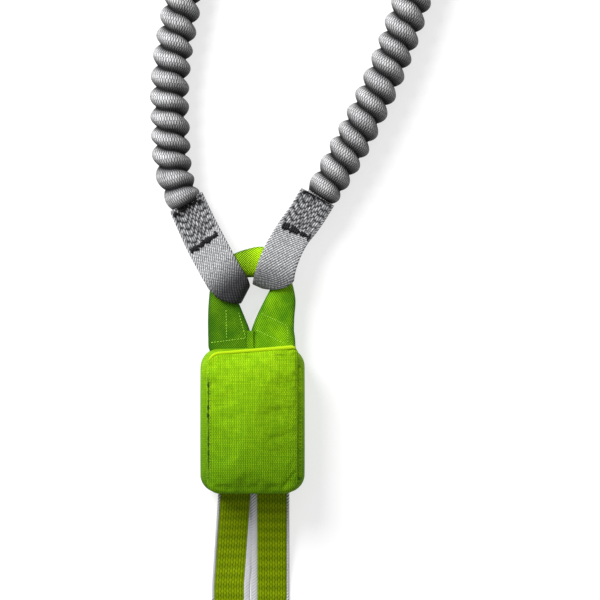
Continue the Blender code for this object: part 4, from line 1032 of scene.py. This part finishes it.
def pile_material(name, colour, dark, scale):
    n = Nodes(name)
    tufts = n.add("TexVoronoi", n.place(), None, scale)
    shade = n.mix(n.remap(tufts, 0.0, 0.7), colour, dark)
    return n.finish(shade, 0.9, n.remap(tufts, 0.0, 0.8, 1.0, 0.0), 0.0004)


def make_tape(name, height, material, body, replaced):
    half = Vector((-TAPE_WIDTH / 2, 0, 0))
    rows = [(Vector((TAPE_X, TAPE_HALF_LENGTH * (2 * k / TAPE_STEPS - 1), height)), half)
            for k in range(TAPE_STEPS + 1)]
    tape = ribbon(name, rows, material, TAPE_THICKNESS, columns=8)
    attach(tape, body)
    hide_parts(replaced)


loop_height = POUCH_DEPTH + CLEARANCE + TAPE_THICKNESS / 2
loop_pile = pile_material("loop_pile", (0.10, 0.17, 0.01), (0.02, 0.04, 0.003), 900)
hook_pile = pile_material("hook_pile", (0.035, 0.035, 0.037), (0.008, 0.008, 0.009), 1300)
make_tape("loop_pile_tape", loop_height, loop_pile, "absorber", "loop_tape")
make_tape("hook_pile_tape", loop_height + TAPE_THICKNESS + CLEARANCE, hook_pile, "cover_flap", "hook_tape")


# Tie-in loop: olive webbing with a white cord along each edge. It leaves the pouch flat, its left leg partly
# under the right one, and turns on edge to its bight. Its tails run on into the pouch.

TIE_IN_LEG_SPACING = 0.0258
TIE_IN_OFFSET = -0.0015
TIE_IN_LENGTH = 0.150
TIE_IN_MOUTH_Y = -0.047
TIE_IN_MOUTH_HEIGHT = 0.0120
TIE_IN_ASIDE = 0.0045
TIE_IN_APART = 0.0011
BIGHT_RADIUS = 0.017
BIGHT_Y = TIE_IN_MOUTH_Y - TIE_IN_LENGTH + BIGHT_RADIUS
BIGHT_ROWS = 24
# The turn on edge: where it starts along the loop, its reach and its rows
TURN_START = 0.50
TURN_REACH = 0.30
TURN_ROWS = 6
LYING = WEBBING_THICKNESS / 2
STANDING = WEBBING_WIDTH / 2 + CLEARANCE
OUTER_CORD = 0.0018
INNER_CORD = 0.0042
CORD_OVERLAP = 0.9
CORD_SIDES = 12
# How far from the mouth the legs still lie off their places, outside the pouch and inside it
ASIDE_OUTSIDE = 0.062
ASIDE_INSIDE = 0.011
# Each tail's y and height, and each leg's share of the loop's length and of the mouth's height
TIE_IN_TAIL = [(-0.0350, 0.0063), (-0.0385, 0.0092), (-0.0420, 0.0116), (-0.0450, 0.0120)]
DROP_SHARES = [(0.0, 1.0), (0.06, 0.93), (0.14, 0.62), (0.22, 0.30), (0.32, 0.07), (0.42, 0.0), (0.50, 0.0)]


def olive_material():
    """Webbing with a grid of dark pits in staggered rows and faint bands across it."""
    n = Nodes("olive_webbing")
    across, along = n.weave()[:2]
    column = (across + n.grain(260) * 0.0005) / 0.0017
    row = (along + n.grain(180) * 0.0006) / 0.0029
    rung = (row + column.floor() * 0.5).zigzag(0.5)
    pit = n.remap(column.zigzag(0.5), 0.05, 0.36, 1.0, 0.0) * n.remap(rung, 0.12, 0.34, 1.0, 0.0)
    bands = n.ribs(along, 0.0066) * 0.45 + n.grain(60, 3.0) * 0.6
    base = n.mix(bands, (0.110, 0.180, 0.0001), (0.245, 0.350, 0.0003))
    colour = n.mix(pit * 0.95, base, (0.008, 0.016, 0.0001))
    return n.finish(colour, 0.75, 1.0 - pit, 0.0004, shine=0.06)


def edge_cord_material(name, dark):
    n = Nodes(name)
    around, along = n.weave()[:2]
    ply = n.ribs(along + around * 0.8, 0.0020)
    colour = n.mix(n.remap(ply, 0.1, 0.6, 1.0, 0.0), (0.80, 0.80, 0.81), dark)
    return n.finish(colour, 0.7, ply, 0.0004)


def tie_in_leg():
    """Rows of (x, y, height, turn on edge) of the left leg, from its tail to the bight."""
    half_spacing = TIE_IN_LEG_SPACING / 2
    leg = [(-half_spacing, y, z, 0.0) for y, z in TIE_IN_TAIL]
    for along, lift in DROP_SHARES:
        y = TIE_IN_MOUTH_Y - 2 * CLEARANCE - TIE_IN_LENGTH * along
        leg.append((-half_spacing, y, LYING + (TIE_IN_MOUTH_HEIGHT - LYING) * lift, 0.0))
    for k in range(1, TURN_ROWS + 1):
        share = k / TURN_ROWS
        ease = share * share * (3 - 2 * share)
        turn = math.radians(90) * ease
        leg.append((-half_spacing - (BIGHT_RADIUS - half_spacing) * ease,
                    TIE_IN_MOUTH_Y - TIE_IN_LENGTH * (TURN_START + TURN_REACH * share),
                    max(LYING, STANDING * math.sin(turn) + LYING * math.cos(turn)), turn))
    leg.append((-BIGHT_RADIUS, BIGHT_Y, STANDING, math.radians(90)))
    return smooth_rows(leg, 8)


def tie_in_rows():
    """Rows of (centre, half its width as a vector) from the left tail round the bight to the right one."""
    leg = tie_in_leg()
    left, right = [], []
    for x, y, z, turn in leg:
        for side, rows in ((1, left), (-1, right)):
            half = Vector((side * math.cos(turn), 0, math.sin(turn))) * WEBBING_WIDTH / 2
            rows.append((Vector((side * x, y, z)), half))
    bight = []
    for k in range(1, BIGHT_ROWS):
        angle = math.radians(180) * k / BIGHT_ROWS
        spot = Vector((-BIGHT_RADIUS * math.cos(angle), BIGHT_Y - BIGHT_RADIUS * math.sin(angle), STANDING))
        bight.append((spot, UP * WEBBING_WIDTH / 2))
    rows = left + bight + right[::-1]
    settled = []
    for k, (spot, half) in enumerate(rows):
        past_mouth = TIE_IN_MOUTH_Y - spot.y
        near = max(0.0, 1 - past_mouth / (ASIDE_OUTSIDE if past_mouth > 0 else -ASIDE_INSIDE))
        on_left = k < len(rows) / 2
        aside = TIE_IN_OFFSET + (TIE_IN_ASIDE * near if on_left else 0.0)
        apart = TIE_IN_APART * min(1.0, near * 4)
        settled.append((spot + Vector((aside, 0, -apart if on_left else apart)), half))
    return settled


def bend_at_mouth(piece):
    """Bakes the piece's transform into its mesh."""
    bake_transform(piece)


def edge_cord(name, rows, side, width, material):
    """A flattened cord along one edge of the webbing: side is 1 for the inner edge and -1 for the outer."""
    out = side * (WEBBING_WIDTH - width) / 2
    middle = path_frames([centre for centre, half in rows])
    edge = path_frames([centre + half.normalized() * out for centre, half in rows])
    rings, weave = [], []
    for (centre, half), on_middle, (spot, way, travelled) in zip(rows, middle, edge):
        across = half.normalized()
        normal = across.cross(on_middle[1]).normalized()
        rings.append(oval_ring(spot, across, normal, width / 2, WEBBING_THICKNESS / 2, CORD_SIDES))
        weave += ring_weave(width / 2, travelled, CORD_SIDES)
    bend_at_mouth(skin(name, rings, material, weave))


def make_tie_in():
    rows = tie_in_rows()
    aside = (OUTER_CORD - INNER_CORD) / 2 * CORD_OVERLAP
    narrowed = 1 - CORD_OVERLAP * (OUTER_CORD + INNER_CORD) / WEBBING_WIDTH
    inset = [(centre + half.normalized() * aside, half * narrowed) for centre, half in rows]
    band = ribbon("tie_in_band", inset, olive_material(), WEBBING_THICKNESS * 0.86)
    bend_at_mouth(band)
    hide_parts("tie_in_loop", "tie_in_tail_left", "tie_in_tail_right")
    striped = edge_cord_material("striped_edge_cord", (0.03, 0.03, 0.045))
    white = edge_cord_material("white_edge_cord", (0.22, 0.22, 0.26))
    edge_cord("tie_in_outer_cord", rows, -1, OUTER_CORD, striped)
    edge_cord("tie_in_inner_cord", rows, 1, INNER_CORD, white)


make_tie_in()


# Inside the pouch: two packs of off-white tear webbing in five layers, each folded back at its ends, held by
# two elastic bands. They can be seen where the cover opens.

LAYER_BASE = 0.0039
LAYER_PITCH = 0.0048
TEAR_LAYERS = 5
TEAR_THICKNESS = 0.0022
TEAR_HALF_LENGTH = 0.031
TEAR_MIDDLE = 0.0131
TEAR_ROWS = 8
TEAR_RIB = 0.0012
BAND_WIDTH = 0.009
BAND_THICKNESS = 0.0008
BAND_HALF = 0.0263
BAND_LOW = 0.0021
BAND_HIGH = 0.0249
BAND_CORNER = 0.0016


def tear_material():
    """Off-white webbing with long ribs, a tracer yarn near each edge and darker spaces between the yarns."""
    n = Nodes("tear_webbing")
    across, along = n.weave()[:2]
    pick = n.ribs(along + (across / TEAR_RIB).floor() * 0.0006, 0.0012)
    yarn = (n.ribs(across, TEAR_RIB) * 0.6 + 0.4) * (pick * 0.4 + 0.6)
    worn = n.mix(n.grain(120, 3.0), (0.50, 0.51, 0.45), (0.66, 0.66, 0.60))
    tracer = n.math("COMPARE", abs(across), 0.0095, 0.0006)
    base = n.mix(tracer, worn, (0.45, 0.05, 0.03))
    colour = n.mix(n.remap(yarn, 0.2, 0.8, 0.6, 0.0), base, (0.12, 0.12, 0.10))
    return n.finish(colour, 0.85, yarn, 0.0003)


def band_material():
    n = Nodes("elastic_band")
    rib = n.ribs(n.weave()[0], 0.0010)
    lit = rib * n.remap(n.grain(900), 0.3, 0.7, 0.5, 1.0)
    return n.finish(n.mix(lit, (0.006, 0.006, 0.007), (0.045, 0.045, 0.048)), 0.8, rib, 0.0002)


def make_tear_pack(word, side, webbing):
    path = []
    for layer in range(TEAR_LAYERS):
        way = 1 if layer % 2 == 0 else -1
        height = LAYER_BASE + LAYER_PITCH * layer
        path += [(way * TEAR_HALF_LENGTH * (1 - 2 * k / TEAR_ROWS), height) for k in range(TEAR_ROWS + 1)]
        if layer < TEAR_LAYERS - 1:
            for k in range(1, TEAR_ROWS):
                angle = math.radians(180) * k / TEAR_ROWS
                path.append((-way * (TEAR_HALF_LENGTH + LAYER_PITCH / 2 * math.sin(angle)),
                             height + LAYER_PITCH / 2 * (1 - math.cos(angle))))
    rows = [(Vector((side * TEAR_MIDDLE, y, z)), Vector((WEBBING_WIDTH / 2, 0, 0))) for y, z in path]
    pack = ribbon(word + "_tear_pack", rows, webbing, TEAR_THICKNESS)
    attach(pack, "absorber")
    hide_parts("tear_webbing_" + word)


def make_band(name, y, material, replaced):
    middle = (BAND_HIGH + BAND_LOW) / 2
    outline = rounded_outline(BAND_HALF, (BAND_HIGH - BAND_LOW) / 2, BAND_CORNER, 4)
    rows = [(Vector((x, y, z + middle)), Vector((0, BAND_WIDTH / 2, 0))) for x, z in outline]
    band = ribbon(name, rows, material, BAND_THICKNESS, joined=True, columns=8)
    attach(band, "absorber")
    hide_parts(replaced)


tear = tear_material()
make_tear_pack("left", -1, tear)
make_tear_pack("right", 1, tear)
band_cloth = band_material()
make_band("lower_pack_band", -0.018, band_cloth, "pack_band_lower")
make_band("upper_pack_band", 0.018, band_cloth, "pack_band_upper")


# Arm ends: the pressed splice inside the sewn block below; the rubber sleeve, the webbing loop round the
# carabiner's bar and its keeper above.

RIGHTWARD = Vector((1, 0, 0))
FITTING_SIDES = 40
FITTING_SHADE = 0.8
SPLICE_LENGTH = 0.026
SLEEVE_LENGTH = 0.036
SLEEVE_THICKNESS = 0.0125
SLEEVE_HEIGHT = SLEEVE_THICKNESS / 2 + CLEARANCE
SLEEVE_WALL = 0.0013
BAR_WRAP = 0.0052
BAR_REACH = 0.068
STRAP_PINCH = 0.66
WRAP_ROWS = 16
# From the arm's end: where the webbing loop has spread to the bar
SPREAD = BAR_REACH - BAR_WRAP * 1.3
CARABINER_HALF = 0.0065
KEEPER_LENGTH = 0.008
KEEPER_WALL = 0.0011
# Along the splice: its share of the length, half width per webbing width, thicknesses and squareness
SPLICE_SHARES = [(0.0, 0.36, 3.0, 0.9), (0.08, 0.36, 2.3, 0.8), (0.16, 0.35, 1.5, 0.7),
                 (0.30, 0.34, 1.0, 0.5), (1.0, 0.33, 1.0, 0.4)]
# Along the sleeve: its share of the length, flatness and squareness
SLEEVE_SHARES = [(0.0, 0.0, 1.0), (0.12, 0.05, 0.95), (0.3, 0.3, 0.9), (0.5, 0.62, 0.8), (0.75, 0.93, 0.55),
                 (1.0, 1.0, 0.5)]
# Along the keeper: its share of the length and swell
KEEPER_SHARES = [(0, 0.0), (0.15, 0.0001), (0.5, 0.0002), (0.85, 0.0001), (1, 0.0)]


def narrower(ring, inset, shift=Vector()):
    centre, across, half_width, half_height, squareness = ring
    return (centre + shift, across, half_width - inset, half_height - inset, squareness)


def fitting(name, sections, material, wall=0.0):
    """A skin over sections of (centre, across, half width, half height, squareness). With a wall it is a
    sleeve: the wall goes inward where it is positive and outward where it is negative."""
    if wall:
        lip = abs(wall) * 0.35
        first_lip = narrower(sections[0], wall / 2, (sections[0][0] - sections[1][0]).normalized() * lip)
        last_lip = narrower(sections[-1], wall / 2, (sections[-1][0] - sections[-2][0]).normalized() * lip)
        inside = [narrower(section, wall) for section in reversed(sections)]
        sections = [first_lip, *sections, last_lip, *inside]
    rings, weave = [], []
    for section, (spot, way, travelled) in zip(sections, path_frames([section[0] for section in sections])):
        across, half_width, half_height, squareness = section[1:]
        rings.append(oval_ring(spot, across, UP, half_width, half_height, FITTING_SIDES, squareness))
        weave += ring_weave(half_width, travelled, FITTING_SIDES)
    depths = [FITTING_SHADE] * len(weave)
    return skin(name, rings, material, weave, depths, joined=bool(wall))


def moulded_material(name, colour, roughness, grain_scale=1400):
    """Moulded rubber or plastic: a fine pebble, slight colour variation and scuffs."""
    n = Nodes(name)
    scuff = n.remap(n.grain(160, 4.0), 0.55, 0.75)
    shade = n.mix(scuff * 0.5, colour, tuple(min(1.0, c * 2.6 + 0.012) for c in colour))
    return n.finish(shade, scuff * 0.2 + roughness, n.grain(grain_scale, 3.0), 0.00008, shine=0.35)


def make_splice(word, route):
    start = Vector((*route[0], ARM_HEIGHT))
    down = (start - Vector((*route[1], ARM_HEIGHT))).normalized()
    sections = []
    for along, half_width, thickness, squareness in SPLICE_SHARES:
        spot = start + down * (CLEARANCE + SPLICE_LENGTH * along)
        sections.append((spot, down.cross(UP), WEBBING_WIDTH * half_width, SPLICE_THICKNESS * thickness / 2,
                         squareness))
    splice = fitting(word + "_pressed_end", sections, knit)
    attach(splice, word + "_arm_group")
    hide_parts(word + "_lower_splice")


def make_sleeve(word, x, y, rubber):
    """The sleeve goes from round at the arm to flat at the webbing."""
    flat_half = WEBBING_WIDTH / 2 + SLEEVE_WALL + 4 * CLEARANCE
    round_half = ARM_DIAMETER / 2 - CLEARANCE
    sections = []
    for along, flatness, squareness in SLEEVE_SHARES:
        height = ARM_HEIGHT + (SLEEVE_HEIGHT - ARM_HEIGHT) * flatness
        sections.append((Vector((x, y + CLEARANCE + SLEEVE_LENGTH * along, height)), RIGHTWARD,
                         round_half + (flat_half - round_half) * flatness,
                         round_half + (SLEEVE_THICKNESS / 2 - round_half) * flatness, squareness))
    sleeve = fitting(word + "_rubber_sleeve", smooth_rows(sections, 5), rubber, SLEEVE_WALL)
    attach(sleeve, word + "_end")
    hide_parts(word + "_end_sleeve")


def make_end_strap(word, x, y):
    """The webbing loop, from inside the sleeve round the carabiner's bar and back."""
    gap = WEBBING_THICKNESS / 2 + CLEARANCE
    profile = [(SLEEVE_LENGTH * 0.60, SLEEVE_HEIGHT + (ARM_HEIGHT - SLEEVE_HEIGHT) * 0.25, gap * 1.2),
               (SLEEVE_LENGTH * 0.80, SLEEVE_HEIGHT, gap * 1.4), (SLEEVE_LENGTH, SLEEVE_HEIGHT, gap * 1.8),
               ((SLEEVE_LENGTH + SPREAD) / 2, CARABINER_HALF, BAR_WRAP * STRAP_PINCH),
               (SPREAD, CARABINER_HALF, BAR_WRAP * 0.98)]
    front, back = [smooth_rows([(y + along, centre + side * half) for along, centre, half in profile], 4)
                   for side in (1, -1)]
    turns = [math.radians(180) * k / WRAP_ROWS for k in range(WRAP_ROWS + 1)]
    wrap = [(y + BAR_REACH + BAR_WRAP * math.sin(a), CARABINER_HALF + BAR_WRAP * math.cos(a)) for a in turns]
    path = front + wrap + back[::-1]
    rows = [(Vector((x, spot_y, spot_z)), RIGHTWARD * WEBBING_WIDTH / 2) for spot_y, spot_z in path]
    strap = ribbon(word + "_end_strap", rows, melange)
    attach(strap, word + "_end")
    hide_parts(word + "_upper_loop")


def make_keeper(word, x, y, rubber):
    start = y + (SLEEVE_LENGTH + SPREAD) / 2 - KEEPER_LENGTH * 0.85
    half_width = WEBBING_WIDTH / 2 + 3 * CLEARANCE
    half_height = BAR_WRAP * STRAP_PINCH + WEBBING_THICKNESS / 2 + 2 * CLEARANCE
    sections = [(Vector((x, start + KEEPER_LENGTH * share, CARABINER_HALF)), RIGHTWARD, half_width + swell,
                 half_height + swell, 0.2) for share, swell in KEEPER_SHARES]
    keeper = fitting(word + "_keeper_ring", sections, rubber, -KEEPER_WALL)
    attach(keeper, word + "_end")
    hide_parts(word + "_keeper")


sleeve_rubber = moulded_material("sleeve_rubber", (0.014, 0.014, 0.015), 0.62)
keeper_rubber = moulded_material("keeper_rubber", (0.018, 0.018, 0.019), 0.45, 900)
for word, route in (("left", LEFT_ARM_ROUTE), ("right", RIGHT_ARM_ROUTE)):
    make_splice(word, route)
    make_sleeve(word, *route[-1], sleeve_rubber)
    make_end_strap(word, *route[-1])
    make_keeper(word, *route[-1], keeper_rubber)


# Carabiners: the CAD's metal, steel and plastic pieces with satin, brushed and moulded finishes and softened
# edges, and a coil between the spine and the palm pad in place of the lever's spring.

EDGE_SOFTNESS = 0.0002
COIL_Y = 0.7241
COIL_START = 0.0004
COIL_LENGTH = 0.0046
COIL_RADIUS = 0.0021
COIL_WIRE_RADIUS = 0.00035
COIL_TURNS = 4.5
COIL_STEPS = 150
COIL_SIDES = 8


def metal_material(name, colour, roughness, streaks):
    """Satin or brushed metal: fine streaks, cloudy anodising and small bright scratches."""
    n = Nodes(name)
    brushed = n.grain(2200, 2.0, n.add("Mapping", n.place(), None, None, (streaks, 1.0, 1.0)))
    slanting = n.add("Mapping", n.place(), None, (0.3, 0.5, 0.8), (6.0, 0.7, 1.0))
    scratch = n.remap(n.grain(420, 6.0, slanting), 0.66, 0.70)
    dark, light, bright = [tuple(min(1.0, c * share) for c in colour) for share in (0.82, 1.14, 1.35)]
    base = n.mix(brushed * 0.3 + n.grain(55, 3.0) * 0.4, dark, light)
    worn = n.mix(scratch * 0.4, base, bright)
    return n.finish(worn, brushed * 0.14 + roughness, brushed, 0.00003, metallic=1.0, shine=0.5)


def make_lever_coil(word, body_x, steel):
    """A fixed coil of wire, carried by the carabiner."""
    rings, weave = [], []
    for k in range(COIL_STEPS + 1):
        turn = math.tau * COIL_TURNS * k / COIL_STEPS
        out = Vector((0, math.cos(turn), math.sin(turn)))
        x = body_x - COIL_START - COIL_LENGTH * k / COIL_STEPS
        spot = Vector((x, COIL_Y, CARABINER_HALF)) + out * COIL_RADIUS
        rings.append(oval_ring(spot, out, RIGHTWARD, COIL_WIRE_RADIUS, COIL_WIRE_RADIUS, COIL_SIDES))
        weave += ring_weave(COIL_WIRE_RADIUS, turn * COIL_RADIUS, COIL_SIDES)
    coil = skin(word + "_lever_coil", rings, steel, weave)
    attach(coil, word + "_carabiner")
    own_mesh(coil)
    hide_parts(word + "_lever_spring")


def finish_hard_parts():
    finishes = {
        "carabiner_body": metal_material("forged_satin", (0.30, 0.31, 0.33), 0.46, 0.5),
        "gate": metal_material("gate_satin", (0.24, 0.245, 0.26), 0.42, 4.0),
        "palm_lever": metal_material("lever_brushed", (0.28, 0.28, 0.28), 0.34, 9.0),
        "pin": metal_material("pin_turned", (0.36, 0.355, 0.34), 0.28, 3.0),
        "spring": metal_material("spring_drawn", (0.30, 0.30, 0.31), 0.32, 1.0),
        "palm_pad": moulded_material("pad_moulded", (0.030, 0.032, 0.034), 0.5, 1100),
    }
    for name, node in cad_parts.items():
        for ending, finish in finishes.items():
            if name.endswith(ending):
                node.material_slots[0].link = "OBJECT"
                node.material_slots[0].material = finish
                if ending != "spring":
                    edges = node.modifiers.new("soft_edges", "BEVEL")
                    edges.width = EDGE_SOFTNESS
                    edges.segments = 2
                    edges.limit_method = "ANGLE"


finish_hard_parts()
spring_wire = metal_material("coil_drawn", (0.30, 0.30, 0.31), 0.32, 1.0)
make_lever_coil("left", -0.0764, spring_wire)
make_lever_coil("right", 0.0859, spring_wire)
